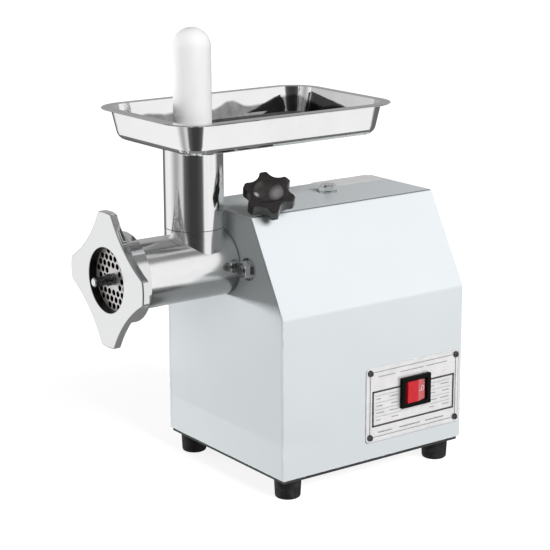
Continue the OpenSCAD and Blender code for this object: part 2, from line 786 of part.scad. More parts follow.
module barrel() {
  rear = -free_gap;
  mouth_back = -barrel_l + mouth_l;
  color("lightgray") placed() difference() {
    union() {
      on_axis(head_z) rotate_extrude() polygon(concat(
        [[0, -rear], [barrel_d / 2 - barrel_edge_r, -rear]],
        arc([barrel_d / 2 - barrel_edge_r, -rear + barrel_edge_r], barrel_edge_r, -90, 0, 5),
        [[barrel_d / 2, -mouth_back - 6], [mouth_d / 2, -mouth_back], [mouth_d / 2, barrel_l],
         [0, barrel_l]]));
      rod(0, head_z, spigot_d / 2, rear - 1, spigot_l - 1.5);
      rod(0, head_z, spigot_d / 2, spigot_l - 1.51, spigot_l, spigot_d / 2 - 1.5);
      translate([0, -tube_y, head_z]) cylinder(d = tube_d, h = joint_rise);
    }
    rod(0, head_z, barrel_bore / 2, -barrel_l - 1, floor_y);
    rod(0, head_z, cutter_d / 2 + 0.15, -barrel_l - 1, plate_back_y);
    rod(0, head_z, journal_d / 2 + run_gap, floor_y - 1, spigot_l + 1);
    translate([0, -tube_y, head_z]) cylinder(d = tube_d - 2 * tube_wall, h = joint_rise + 1);
    rod(0, head_z - cutter_d / 2 - 0.5, key_d / 2 + seat_gap, -barrel_l - 1, plate_back_y + 4);
  }
}

module feed_tube() {
  color("silver") placed() translate([0, -tube_y, head_z + joint_rise]) difference() {
    cylinder(d = tube_d, h = tube_rise - joint_rise);
    translate([0, 0, -1]) cylinder(d = tube_d - 2 * tube_wall, h = tube_rise);
  }
}

key_d = 4;

module plate_key() {
  color("dimgray") placed()
    rod(0, head_z - cutter_d / 2 - 0.5, key_d / 2, -barrel_l + 0.5, plate_back_y + 3.5);
}

// Outlines of n blunt lobes with round corners, and shallow hollows between them.
// shape is [n, lobe radius, hollow's centre distance, hollow's radius, corner radius]
lobe_half_a = asin(lobe_w / lobe_d);
hollow_x = lobe_d / 2 * cos(45 - lobe_half_a);
hollow_y = lobe_d / 2 * sin(45 - lobe_half_a);
hollow_c = (hollow_x * hollow_x + hollow_y * hollow_y - valley_d * valley_d / 4)
           / (2 * hollow_x - valley_d);
hollow_r = hollow_c - valley_d / 2;

// A circle of the corner's radius that touches the lobe end inside and the hollow's arc outside
function corner_at(shape) =
  let (inner = shape[1] - shape[4], outer = shape[3] + shape[4],
       x = (shape[2] * shape[2] + inner * inner - outer * outer) / (2 * shape[2]))
  [x, sqrt(inner * inner - x * x)];

// One share of the outline, from one lobe's far corner round the hollow to the next lobe
function lobe_points(shape) =
  let (p = corner_at(shape), c = shape[2], corner = shape[4],
       tip_a = atan2(p[1], p[0]), hollow_a = atan2(p[1], p[0] - c))
  concat(
    arc([p[0], -p[1]], corner, -tip_a, 180 - hollow_a, 5),
    arc([c, 0], shape[3], 360 - hollow_a, hollow_a, 10),
    arc(p, corner, hollow_a - 180, tip_a, 5),
    arc([0, 0], shape[1], tip_a, 360 / shape[0] - tip_a, 4));

function turned(points, a) =
  [for (q = points) [q[0] * cos(a) - q[1] * sin(a), q[0] * sin(a) + q[1] * cos(a)]];

function lobed_outline(shape, start) =
  [for (k = [0:shape[0] - 1]) for (q = turned(lobe_points(shape), start + 360 / shape[0] * k)) q];

function ring_outline(corner) = lobed_outline([4, lobe_d / 2, hollow_c, hollow_r, corner], 45);

module ring_nut() {
  color("whitesmoke") placed() difference() {
    union() {
      along_y(ring_face_y, ring_face_y + lobe_t) translate([0, head_z]) polygon(ring_outline(lobe_corner_r));
      rod(0, head_z, skirt_d / 2, ring_face_y + 1, plate_face_y + skirt_l);
    }
    rod(0, head_z, ring_mouth_d / 2, ring_face_y - 1, plate_face_y + 1);
    rod(0, head_z, mouth_d / 2 + free_gap, plate_face_y, plate_face_y + skirt_l + 1);
  }
}

// Rows of holes in a hexagonal pattern over the plate's face
module at_cutter_holes() {
  rows = ceil(cutter_d / 2 / (cutter_pitch * sin(60)));
  reach = ring_mouth_d / 2 - 1;
  for (j = [-rows:rows], i = [-rows - 2:rows + 2]) {
    x = (i + (j % 2 == 0 ? 0 : 0.5)) * cutter_pitch;
    z = j * cutter_pitch * sin(60);
    r = sqrt(x * x + z * z);
    if (r < reach && r > cutter_hub_d / 2 + cutter_hole_d / 2) translate([x, 0, z]) children();
  }
}

module grinding_plate() {
  color("lightgray") placed() difference() {
    rod(0, head_z, cutter_d / 2, plate_face_y, plate_back_y);
    rod(0, head_z, pin_d / 2 + run_gap, plate_face_y - 1, plate_back_y + 1);
    translate([0, 0, head_z]) at_cutter_holes()
      rod(0, 0, cutter_hole_d / 2, plate_face_y - 1, plate_back_y + 1, $fn = 24);
    rod(0, head_z - cutter_d / 2 - 0.5, key_d / 2 + free_gap, plate_face_y - 1, plate_back_y + 1);
  }
}

knife_y = plate_back_y + 0.3;

module knife() {
  color("silver") placed() translate([0, knife_y, head_z]) difference() {
    union() {
      rod(0, 0, 11.5, 0, knife_t);
      for (a = [0:90:270]) rotate([0, a, 0]) knife_blade();
    }
    box([-drive_square / 2 - seat_gap, -1, -drive_square / 2 - seat_gap],
        [drive_square / 2 + seat_gap, knife_t + 1, drive_square / 2 + seat_gap]);
  }
}

// One cutting blade: flat against the plate, backed off behind its edge
module knife_blade() {
  intersection() {
    rod(0, 0, knife_d / 2, 0, knife_t);
    translate([4, 0, 0]) rotate([0, 90, 0]) linear_extrude(height = knife_d / 2)
      polygon([[-4.5, 0], [4.5, 0], [4.5, 2.2], [0.5, knife_t - 1], [-4.5, knife_t - 1]]);
  }
}

// Auger: tapered core, left-hand flight, square for the knife, rear journal and drive tang
flight_start = floor_y - 6;
flight_turns = (flight_start - auger_front_y - 5) / auger_pitch;
tang_w = 16;
tang_t = 9;
tang_l = 11;

function flight_ring(turn) =
  let (a = 360 * turn, y = auger_front_y + 5 + turn * auger_pitch,
       fade = min(1, min(turn, flight_turns - turn) * 6 + 0.35),
       r_in = auger_core_front / 2 - 2, r_out = auger_d / 2 * fade + r_in * (1 - fade))
  [for (q = [[r_in, -4], [r_out, -1.6], [r_out, 1.6], [r_in, 4]])
    [q[0] * cos(a), y + q[1], q[0] * sin(a)]];

module auger_flight() {
  steps = 22 * ceil(flight_turns);
  rings = [for (i = [0:steps]) flight_ring(flight_turns * i / steps)];
  points = [for (r = rings) for (q = r) q];
  sides = [for (i = [0:steps - 1]) for (k = [0:3])
    let (a = 4 * i + k, b = 4 * i + (k + 1) % 4)
    each [[a, b + 4, b], [a, a + 4, b + 4]]];
  polyhedron(points = points, faces = concat(sides, [[0, 1, 2, 3], [for (k = [3:-1:0]) 4 * steps + k]]));
}

module auger() {
  color("silver") placed() translate([0, 0, head_z]) difference() {
    union() {
      rod(0, 0, auger_core_front / 2, auger_front_y, floor_y - washer_t, auger_core_rear / 2);
      rod(0, 0, journal_d / 2, floor_y - washer_t - 0.01, spigot_l);
      auger_flight();
      box([-drive_square / 2, knife_y + 0.5, -drive_square / 2],
          [drive_square / 2, auger_front_y + 1, drive_square / 2]);
      box([-tang_w / 2, spigot_l - 1, -tang_t / 2], [tang_w / 2, spigot_l + 1 + tang_l, tang_t / 2]);
    }
    rod(0, 0, pin_d / 2 + seat_gap, knife_y - 1, auger_front_y + 16);
  }
}

washer_t = 2;

module auger_washer() {
  color("whitesmoke") placed() ring(0, head_z, auger_core_rear / 2 + 1, journal_d / 2 + seat_gap,
                                    floor_y - washer_t + 0.02, floor_y - 0.05);
}

module auger_pin() {
  collar_y = plate_face_y - pin_collar_l;
  color("dimgray") placed() {
    rod(0, head_z, pin_d / 2, collar_y, auger_front_y + 15.5);
    rod(0, head_z, pin_nose_d / 2, pin_tip_y + 0.8, collar_y + 0.01);
    rod(0, head_z, pin_nose_d / 2 - 0.8, pin_tip_y, pin_tip_y + 0.81, pin_nose_d / 2);
  }
}

// ---------------------------------------------------------------- tray and pusher

// Sweeps a profile (distance out from the corner centres, height) round a rounded rectangle
module rim_sweep(half_x, half_y) {
  for (k = [0:3]) rotate([0, 0, 90 * k]) {
    hx = k % 2 == 0 ? half_x : half_y;
    hy = k % 2 == 0 ? half_y : half_x;
    translate([hx, hy, 0]) rotate_extrude(angle = 90) children();
    translate([hx, hy, 0]) rotate([90, 0, 0]) linear_extrude(height = 2 * hy) children();
  }
}

function tray_section() =
  let (out = tray_corner_r - rim_w, foot = out - tray_draft, f = tray_fold_r, t = tray_t)
  concat(
    [[0, -tray_depth], [foot - f, -tray_depth]],
    arc([foot - f, -tray_depth + f], f, -90, -8, 5),
    [[out, -t - 0.5], [out + 0.5, -t], [tray_corner_r - 0.6, -t], [tray_corner_r, -t / 2],
     [tray_corner_r - 0.6, 0], [out - t, 0]],
    flipped_fold(foot, f, t),
    [[0, -tray_depth + t]]);

function flipped_fold(foot, f, t) =
  let (inner = arc([foot - f, -tray_depth + f], f - t, -90, -8, 5))
  [for (i = [len(inner) - 1:-1:0]) inner[i]];

module tray() {
  half_x = tray_w / 2 - tray_corner_r;
  half_y = tray_l / 2 - tray_corner_r;
  mid_y = -tube_y - tray_front + tray_l / 2;
  neck_r = tube_d / 2 - tube_wall - 0.25;
  lift = 0.05;
  color("silver") placed() translate([0, 0, lift]) difference() {
    union() {
      translate([0, mid_y, rim_z]) {
        rim_sweep(half_x, half_y) polygon(tray_section());
        translate([-half_x, -half_y, -tray_depth]) cube([2 * half_x, 2 * half_y, tray_t]);
      }
      translate([0, -tube_y, tube_top_z - neck_l]) cylinder(r = neck_r, h = neck_l + tray_t / 2);
    }
    translate([0, -tube_y, tube_top_z - neck_l - 1]) cylinder(r = neck_r - tray_t, h = neck_l + 10);
  }
}

module pusher() {
  low = head_z + auger_d / 2 + free_gap;
  top = head_z + pusher_rise;
  r = pusher_d / 2;
  foot = pusher_foot_d / 2;
  color("white") placed() translate([0, -tube_y, 0]) rotate_extrude() polygon(concat(
    [[0, low], [foot - 1, low], [foot, low + 1], [foot, low + pusher_foot_h],
     [r, low + pusher_foot_h + 4]],
    arc([0, top - r], r, 0, 90, 9)));
}

// ---------------------------------------------------------------- head clamp

stud_point = 2;
stud_tip = (spigot_d / 2 + free_gap + (stud_d / 2 - stud_point) * sin(clamp_tilt)) / cos(clamp_tilt);
knob_back = knob_reach - knob_t;

knob_start_a = 15;
knob_corner_r = 2.2;

function knob_outline() =
  let (cut_r = knob_d * 0.225)
  lobed_outline([knob_lobes, knob_d / 2, knob_d / 2 + cut_r * 0.42, cut_r, knob_corner_r], knob_start_a);

module clamp_knob() {
  r = knob_d / 2;
  edge = 2.5;
  hub = 9.5;
  dish_r = (knob_dish_d * knob_dish_d / 4 + knob_dish * knob_dish) / (2 * knob_dish);
  dish_a = acos(knob_dish_d / 2 / dish_r);
  color("#232427") placed() on_clamp() difference() {
    intersection() {
      rotate_extrude() polygon(concat(
        [[0, knob_back - knob_hub_l], [hub - 1.5, knob_back - knob_hub_l], [hub, knob_back - 0.5],
         [hub + 2, knob_back]],
        arc([r - edge, knob_back + edge], edge, -90, 0, 4),
        arc([r - edge, knob_reach - edge], edge, 0, 90, 4),
        [[knob_dish_d / 2 + 0.8, knob_reach]],
        arc([0, knob_reach - knob_dish + dish_r], dish_r, -dish_a, -90, 6)));
      union() {
        translate([0, 0, knob_back]) linear_extrude(height = knob_t + 1) polygon(knob_outline());
        translate([0, 0, knob_back - knob_hub_l - 1]) cylinder(r = hub + 3, h = knob_hub_l + 3);
      }
    }
    translate([0, 0, knob_back - knob_hub_l - 1]) cylinder(d = stud_d + 2 * seat_gap, h = knob_hub_l + 5);
  }
}

module clamp_stud() {
  color("silver") placed() on_clamp() {
    translate([0, 0, stud_tip]) cylinder(d1 = stud_d - 2 * stud_point, d2 = stud_d, h = stud_point);
    translate([0, 0, stud_tip + stud_point - 0.01])
      cylinder(d = stud_d, h = knob_back + 2.9 - stud_tip - stud_point + 0.01);
  }
}

// ---------------------------------------------------------------- gearbox

// The castings' outline round the three shafts, grown by g
module gearbox_outline(g, y0, y1) {
  link_y(head_z, output_room_r + g, idler_z, idler_room_r + g, y0, y1);
  link_y(idler_z, idler_room_r + g, motor_z, motor_room_r + g, y0, y1);
}

// Screws round the flange of the castings: angle and shaft they are measured from
module at_gearbox_screws() {
  lug = case_wall + lug_r - 1;
  for (s = [-1, 1]) {
    translate([s * (output_room_r + lug) * cos(28), 0, head_z + (output_room_r + lug) * sin(28)]) children();
    translate([s * (idler_room_r + lug) * cos(5), 0, idler_z + (idler_room_r + lug) * sin(5)]) children();
    translate([s * (motor_room_r + lug) * cos(26), 0, motor_z - (motor_room_r + lug) * sin(26)]) children();
  }
}

lug_r = 6;
lug_l = 14;
gearbox_screw_d = 5;
gearbox_thread = 4.5;

module gearbox_case() {
  color("#9a9da1") placed() difference() {
    union() {
      gearbox_outline(case_wall, case_front_y, case_back_y);
      rod(0, head_z, socket_d / 2, sheet_t, case_front_y + 1);
      rod(0, idler_z, idler_boss_r, output_front_y - 1, case_front_y + 1);
      for (s = [-1, 1]) rod(s * front_stud_x, head_z, 9, sheet_t, case_front_y + 1);
      at_gearbox_screws() rod(0, 0, lug_r, case_back_y - lug_l, case_back_y);
      intersection() {
        on_clamp() cylinder(d = clamp_boss_d, h = clamp_boss_reach);
        box([-body_w, sheet_t, head_z - 10], [body_w, body_d, roof_z - sheet_t - 0.5]);
      }
      for (s = [-1, 1])
        box([s * 14 - 4, case_front_y + 4, bottom_z], [s * 14 + 4, case_back_y, motor_z]);
      box([-30, case_front_y + 4, bottom_z], [30, case_back_y, bottom_z + 5]);
    }
    rod(0, head_z, spigot_d / 2 + run_gap, -1, socket_end_y);
    rod(0, head_z, bearing_25[1] - 3, socket_end_y - 1, output_front_y + 1);
    rod(0, head_z, bearing_25[1] + seat_gap, output_front_y, case_front_y + 5);
    rod(0, idler_z, bearing_15[1] + seat_gap, idler_front_y, case_front_y + 5);
    gearbox_outline(0, case_front_y + case_wall, case_back_y + 1);
    for (s = [-1, 1]) rod(s * front_stud_x, head_z, front_stud_d / 2 + seat_gap, -1, front_stud_d * 2 + 1);
    on_clamp() cylinder(d = stud_d + 2 * run_gap, h = clamp_boss_reach + 20);
    at_gearbox_screws() rod(0, 0, gearbox_screw_d / 2 + 0.3, case_back_y - lug_l - 1, case_back_y + 1);
  }
}

idler_front_y = output_front_y + 1;

module gearbox_gasket() {
  color("#5d6b50") placed() difference() {
    union() {
      gearbox_outline(case_wall, case_back_y, cover_front_y);
      at_gearbox_screws() rod(0, 0, lug_r, case_back_y, cover_front_y);
    }
    gearbox_outline(0, case_back_y - 1, cover_front_y + 1);
    at_gearbox_screws() rod(0, 0, gearbox_screw_d / 2 + 0.3, case_back_y - 1, cover_front_y + 1);
  }
}

module at_tie_bolts() {
  for (a = [45:90:315]) translate([tie_r * cos(a), 0, motor_z + tie_r * sin(a)]) children();
}

module gearbox_cover() {
  web_back = cover_front_y + 5;
  color("#9a9da1") placed() difference() {
    union() {
      gearbox_outline(case_wall, cover_front_y, web_back);
      rod(0, head_z, bearing_17[1] + 4, cover_front_y, cover_back_y);
      rod(0, idler_z, bearing_15[1] + 4, cover_front_y, cover_back_y);
      rod(0, motor_z, motor_r, cover_back_y - 6, cover_back_y);
      rod(0, motor_z, bearing_15[1] + 4, cover_front_y, cover_back_y);
      box([-4, cover_front_y, motor_z], [4, cover_back_y, head_z]);
      for (s = [-1, 1]) box([s * 30 - 3, cover_front_y, motor_z], [s * 30 + 3, cover_back_y - 5, idler_z]);
      at_gearbox_screws() rod(0, 0, lug_r, cover_front_y, web_back);
      at_tie_bolts() rod(0, 0, ear_r, cover_back_y - 6, cover_back_y);
    }
    rod(0, head_z, bearing_17[1] + seat_gap, rear_bearing_y, cover_back_y + 1);
    rod(0, head_z, bearing_17[1] - 3, cover_front_y - 1, cover_back_y);
    rod(0, idler_z, bearing_15[1] + seat_gap, cover_front_y - 1, cover_front_y + bearing_15[2]);
    rod(0, motor_z, bearing_15[1] + seat_gap, cover_back_y - bearing_15[2], cover_back_y + 1);
    rod(0, motor_z, 11, cover_front_y - 1, cover_back_y);
    at_gearbox_screws()
      rod(0, 0, gearbox_screw_d / 2 + seat_gap, cover_front_y - 1, cover_front_y + gearbox_thread + 0.3);
    at_tie_bolts() rod(0, 0, 2.5 + seat_gap, cover_back_y - 5, cover_back_y + 1);
    at_bracket_screws() translate([0, 0, -20]) cylinder(d = bracket_screw_d + 2 * seat_gap, h = 25);
  }
}

// Socket-head screws, put in from the front through the case's lugs
module gearbox_screws() {
  head_y = case_back_y - lug_l;
  head_l = gearbox_screw_d;
  color("silver") placed() at_gearbox_screws() {
    rod(0, 0, gearbox_screw_d / 2, head_y - 1, cover_front_y + gearbox_thread);
    difference() {
      rod(0, 0, gearbox_screw_d * 0.85, head_y - head_l, head_y);
      translate([0, head_y - head_l - 1, 0]) rotate([-90, 0, 0])
        cylinder(d = gearbox_screw_d * 0.92, h = head_l / 2 + 1, $fn = 6);
    }
  }
}

module front_studs() {
  color("silver") placed() for (s = [-1, 1])
    rod(s * front_stud_x, head_z, front_stud_d / 2, -front_washer_t - front_nut_h - front_stud_d / 5,
      front_stud_d * 2);
}

front_washer_t = front_stud_d / 5;
front_nut_h = front_stud_d * 0.8;

module front_washers() {
  color("silver") placed() for (s = [-1, 1])
    ring(s * front_stud_x, head_z, front_washer_d / 2, front_stud_d / 2 + 0.2, -front_washer_t, 0);
}

module front_nuts() {
  color("lightgray") placed() for (s = [-1, 1])
    translate([s * front_stud_x, -front_washer_t, head_z]) rotate([90, 30, 0])
      hex_nut(front_nut_af, front_nut_h, front_stud_d + 2 * seat_gap);
}

// Involute gear outline. Tooth 0 points along +X, thinned by slack on the pitch circle
function involute_a(r, base) = r <= base ? 0 : sqrt(r * r / (base * base) - 1) * 180 / PI - acos(base / r);

function tooth_flank(m, teeth, slack) =
  let (pitch_r = m * teeth / 2, base = pitch_r * cos(20), tip = pitch_r + 0.95 * m, root = pitch_r - 1.25 * m,
       start = max(base, root + 0.2 * m),
       half = 90 / teeth - slack / pitch_r * 90 / PI + involute_a(pitch_r, base))
  concat(
    [[root, 180 / teeth - 0.28 * 180 / teeth]],
    [for (k = [0:4]) let (r = start + (tip - start) * k / 4) [r, half - involute_a(r, base)]]);

function gear_points(m, teeth, slack) =
  let (flank = tooth_flank(m, teeth, slack), n = len(flank))
  [for (t = [0:teeth - 1]) for (k = [0:2 * n - 1])
    let (q = k < n ? flank[k] : flank[2 * n - 1 - k], side = k < n ? -1 : 1,
         a = 360 * t / teeth + side * q[1])
    [q[0] * cos(a), q[0] * sin(a)]];

tooth_slack = 0.16;

module gear_y(m, teeth, turn, y0, y1) {
  along_y(y0, y1) rotate(turn) polygon(gear_points(m, teeth, tooth_slack));
}

// Turns that put a tooth of one gear in a gap of the next, on the upright line of centres
idler_gear_turn = -90 + 180 / idler_teeth;
motor_turn = 90;
output_turn = -90;
idler_pinion_turn = 90 + 180 / pinion_teeth;

module output_shaft() {
  gear_end = output_gear_y + face_2;
  color("silver") placed() translate([0, 0, head_z]) difference() {
    union() {
      rod(0, 0, bearing_25[0] - run_gap, socket_end_y + 0.3, output_gear_y - 0.5);
      rod(0, 0, bearing_25[0] + 2.5, output_front_y + bearing_25[2] + 0.4, output_gear_y);
      rod(0, 0, output_seat_r, output_gear_y - 0.01, gear_end);
      rod(0, 0, bearing_17[0] - run_gap, gear_end - 0.01, cover_back_y);
    }
    box([-tang_w / 2 - 0.4, 0, -tang_t / 2 - 0.4],
        [tang_w / 2 + 0.4, spigot_l + 1 + tang_l + 0.6, tang_t / 2 + 0.4]);
    box([-key_w / 2, output_gear_y + 2, output_seat_r - key_h / 2],
        [key_w / 2, gear_end - 2, output_seat_r + key_h]);
  }
}

output_seat_r = 12;
key_w = 5;
key_h = 5;

module output_gear() {
  gear_end = output_gear_y + face_2;
  color("#8f8a80") placed() translate([0, 0, head_z]) difference() {
    gear_y(module_2, output_teeth, output_turn, output_gear_y + 0.05, gear_end);
    rod(0, 0, output_seat_r + seat_gap, output_gear_y - 1, gear_end + 1);
    for (a = [0:60:300]) rotate([0, a + 30, 0]) rod(22.5, 0, 5, output_gear_y - 1, gear_end + 1);
    box([-key_w / 2, output_gear_y - 1, 0], [key_w / 2, gear_end + 1, output_seat_r + key_h / 2]);
  }
}

// A closed ball bearing: two rings and a recessed seal between them
module bearing(b, z, y0) {
  mid = (b[0] + b[1]) / 2;
  half = (b[1] - b[0]) * 0.25;
  difference() {
    ring(0, z, b[1], b[0], y0, y0 + b[2]);
    for (y = [y0 - 1, y0 + b[2] - 0.6]) ring(0, z, mid + half, mid - half, y, y + 1.6);
  }
}

module output_bearings() {
  color("lightsteelblue") placed() {
    bearing(bearing_25, head_z, output_front_y);
    bearing(bearing_17, head_z, rear_bearing_y);
  }
}

module idler_bearings() {
  color("lightsteelblue") placed() {
    bearing(bearing_15, idler_z, idler_front_y);
    bearing(bearing_15, idler_z, cover_front_y);
  }
}

idler_seat_r = 11;

module idler_shaft() {
  color("silver") placed() translate([0, 0, idler_z]) difference() {
    union() {
      rod(0, 0, bearing_15[0] - run_gap, idler_front_y, cover_front_y + bearing_15[2]);
      rod(0, 0, 10, idler_front_y + bearing_15[2] + 0.4, output_gear_y);
      gear_y(module_2, pinion_teeth, idler_pinion_turn, output_gear_y - 1, output_gear_y + face_2 + 1);
      rod(0, 0, idler_seat_r, output_gear_y + face_2, idler_gear_y + face_1);
      rod(0, 0, 10, idler_gear_y + face_1 - 0.01, cover_front_y - 0.4);
    }
  }
}

module idler_gear() {
  gear_end = idler_gear_y + face_1;
  color("#8f8a80") placed() translate([0, 0, idler_z]) difference() {
    gear_y(module_1, idler_teeth, idler_gear_turn, idler_gear_y, gear_end);
    rod(0, 0, idler_seat_r + seat_gap, idler_gear_y - 1, gear_end + 1);
    for (a = [0:60:300]) rotate([0, a + 30, 0]) rod(25, 0, 7, idler_gear_y - 1, gear_end + 1);
  }
}

module output_key() {
  c = 0.03;
  color("dimgray") placed() translate([0, 0, head_z])
    box([-key_w / 2 + c, output_gear_y + 2 + c, output_seat_r - key_h / 2 + c],
        [key_w / 2 - c, output_gear_y + face_2 - 2 - c, output_seat_r + key_h / 2 - c]);
}

// ---------------------------------------------------------------- motor

module rotor_shaft() {
  core_r = 9;
  color("silver") placed() translate([0, 0, motor_z]) {
    gear_y(module_1, motor_teeth, motor_turn, idler_gear_y - 1, case_back_y);
    rod(0, 0, bearing_15[0] - run_gap, idler_gear_y - 0.5, end_bearing_y + bearing_15[2]);
    rod(0, 0, core_r, cover_back_y + 0.4, end_bearing_y - 0.4);
    rod(0, 0, fan_seat_r, end_bearing_y + bearing_15[2] - 0.01, fan_y + fan_t + shaft_out);
  }
}

module rotor_core() {
  r = stator_bore / 2 - air_gap;
  color("#6c6f73") placed() translate([0, 0, motor_z]) difference() {
    union() {
      rod(0, 0, r, stack_y, stack_y + stack_len);
      for (y = [stack_y - 6, stack_y + stack_len - 0.01]) ring(0, 0, r - 1.5, r - 9, y, y + 6.01);
    }
    rod(0, 0, 9 + seat_gap, stack_y - 7, stack_y + stack_len + 7);
  }
}

module motor_bearings() {
  color("lightsteelblue") placed() {
    bearing(bearing_15, motor_z, cover_back_y - bearing_15[2]);
    bearing(bearing_15, motor_z, end_bearing_y);
  }
}

module motor_shell() {
  color("#85898d") placed() difference() {
    ring(0, motor_z, motor_r, motor_r - shell_t, cover_back_y, shell_end_y);
    for (a = [0:30:330]) translate([0, 0, motor_z]) rotate([0, a, 0])
      box([-4, shell_end_y - 12, motor_r - 5], [4, shell_end_y - 4, motor_r + 5]);
  }
}

module stator_core() {
  r_out = motor_r - shell_t - seat_gap;
  r_in = stator_bore / 2;
  color("#6c6f73") placed() translate([0, 0, motor_z]) difference() {
    ring(0, 0, r_out, r_in, stack_y, stack_y + stack_len);
    for (k = [0:stator_slots - 1]) rotate([0, 360 / stator_slots * k, 0])
      box([-1.6, stack_y - 1, r_in - 1], [1.6, stack_y + stack_len + 1, r_in + 12]);
  }
}

// End turns of the winding, one bundle at each end of the stack
module stator_windings() {
  r_mid = stator_bore / 2 + 11;
  color("#b06a35") placed() translate([0, 0, motor_z])
    for (y = [stack_y - 4.5, stack_y + stack_len + 4.5])
      translate([0, y, 0]) rotate([-90, 0, 0]) rotate_extrude() translate([r_mid, 0])
        polygon(concat(arc([5, 0], 4.45, -90, 90, 6), arc([-5, 0], 4.45, 90, 270, 6)));
}

module motor_end_shield() {
  color("#9a9da1") placed() difference() {
    union() {
      rod(0, motor_z, motor_r, shell_end_y, shell_end_y + 4);
      rod(0, motor_z, bearing_15[1] + 3.5, end_bearing_y - 1, end_shield_y);
      at_tie_bolts() rod(0, 0, ear_r, shell_end_y, shell_end_y + 4);
    }
    rod(0, motor_z, bearing_15[1] + seat_gap, end_bearing_y, end_shield_y - 0.5);
    rod(0, motor_z, 11, end_bearing_y - 2, end_shield_y + 1);
    for (a = [0:60:300]) translate([0, 0, motor_z]) rotate([0, a, 0])
      box([26, shell_end_y - 1, -9], [42, shell_end_y + 6, 9]);
    at_tie_bolts() rod(0, 0, 2.5 + 0.3, shell_end_y - 1, shell_end_y + 5);
  }
}

module tie_bolts() {
  color("silver") placed() at_tie_bolts() {
    rod(0, 0, 2.5, cover_back_y - 4.5, shell_end_y + 5);
    translate([0, shell_end_y + 4, 0]) rotate([-90, 0, 0]) cylinder(d = 9, h = 3.5, $fn = 6);
  }
}

module fan() {
  hub = 11;
  color("#2b2c2e") placed() translate([0, fan_y, motor_z]) difference() {
    union() {
      rod(0, 0, hub, 0, fan_t);
      rod(0, 0, fan_d / 2, 0, 1.5);
      for (k = [0:fan_blades - 1]) rotate([0, 360 / fan_blades * k, 0])
        box([-0.8, 0, hub - 1], [0.8, fan_t - 1, fan_d / 2 - 0.5]);
    }
    rod(0, 0, fan_seat_r + seat_gap, -1, fan_t + 1);
  }
}

cradle_y = [cover_back_y + 6, shell_end_y - 10];
cradle_w = 92;
cradle_t = 3;
cradle_wall = 4;
saddle_w = 66;
saddle_h = 23;
cradle_screw_d = 5;
cradle_screw_edge = 7;
cradle_screw_end = 9;
cradle_window = 10;

module at_cradle_screws() {
  for (s = [-1, 1], y = [cradle_y[0] + cradle_screw_end, cradle_y[1] - cradle_screw_end])
    translate([s * (cradle_w / 2 - cradle_screw_edge), y, foot_h]) children();
}

// Saddle that carries the motor on the base plate, with a window over the base's slots
module motor_cradle() {
  low = bottom_z;
  edge_x = cradle_w / 2;
  window_x = edge_x - 2 * cradle_screw_edge;
  color("#3a3c3f") placed() difference() {
    union() {
      box([-edge_x, cradle_y[0], low], [edge_x, cradle_y[1], low + cradle_t]);
      for (y = [cradle_y[0], cradle_y[1] - cradle_wall]) along_y(y, y + cradle_wall)
        polygon([[3 - saddle_w / 2, low + 1], [saddle_w / 2 - 3, low + 1],
          [saddle_w / 2, low + saddle_h], [-saddle_w / 2, low + saddle_h]]);
    }
    box([-window_x, cradle_y[0] + cradle_window, low - 1],
        [window_x, cradle_y[1] - cradle_window, low + cradle_t + 1]);
    rod(0, motor_z, motor_r + 0.1, cradle_y[0] - 1, cradle_y[1] + 1);
    at_cradle_screws() cylinder(d = cradle_screw_d + 0.3, h = base_t + cradle_t + 4);
  }
}

module cradle_screws() {
  nut_z = base_t + cradle_t + 0.02;
  color("silver") placed() at_cradle_screws() {
    translate([0, 0, -cradle_screw_d * 0.6]) cylinder(d = cradle_screw_d * 1.8, h = cradle_screw_d * 0.6);
    translate([0, 0, -0.01]) cylinder(d = cradle_screw_d, h = nut_z + cradle_screw_d);
    translate([0, 0, nut_z]) cylinder(d = cradle_screw_d * 1.84, h = cradle_screw_d * 0.8, $fn = 6);
  }
}

capacitor_x = -body_w / 2 + sheet_t + 3 + capacitor_d / 2;
capacitor_z = bottom_z + sheet_t + 1.2 + capacitor_d / 2;
foot_nut_room = 15;  // from a foot's centre to the parts that lie beside its nut
capacitor_y = foot_end + foot_nut_room;

tab_l = 8;
clip_w = 12;

module capacitor() {
  color("#3c3f45") placed() translate([capacitor_x, 0, capacitor_z]) {
    rod(0, 0, capacitor_d / 2, capacitor_y, capacitor_y + capacitor_l);
    for (x = [-5, 5])
      box([x - 0.4, capacitor_y + capacitor_l - 1, -3], [x + 0.4, capacitor_y + capacitor_l + tab_l, 3]);
  }
}

module capacitor_clip() {
  y0 = capacitor_y + (capacitor_l - clip_w) / 2;
  r = capacitor_d / 2 + seat_gap;
  color("gray") placed() translate([capacitor_x, 0, capacitor_z]) difference() {
    union() {
      rod(0, 0, r + 1, y0, y0 + clip_w);
      box([0, y0, -capacitor_d / 2 - 1.2], [r + clip_w - 1, y0 + clip_w, -capacitor_d / 2 + 0.3]);
    }
    rod(0, 0, r, y0 - 1, y0 + clip_w + 1);
  }
}

block_l = 36;
block_w = 17;
block_h = 14;
block_poles = 3;

// Three-pole terminal block beside the gland, behind the rear foot's nut
module terminal_block() {
  y0 = body_d - foot_end - foot_nut_room + 4 - block_l;
  pole = block_l / block_poles;
  well = block_h * 0.4;
  color("ivory") placed() translate([-body_w / 2 + 8, y0, bottom_z + sheet_t]) difference() {
    cube([block_w, block_l, block_h]);
    for (k = [0.5:block_poles])
      translate([block_w / 2, k * pole, block_h - well]) cylinder(d = 5, h = well + 1);
    for (k = [1:block_poles - 1]) translate([-1, k * pole - 0.6, block_h - 5]) cube([block_w + 2, 1.2, 6]);
  }
}

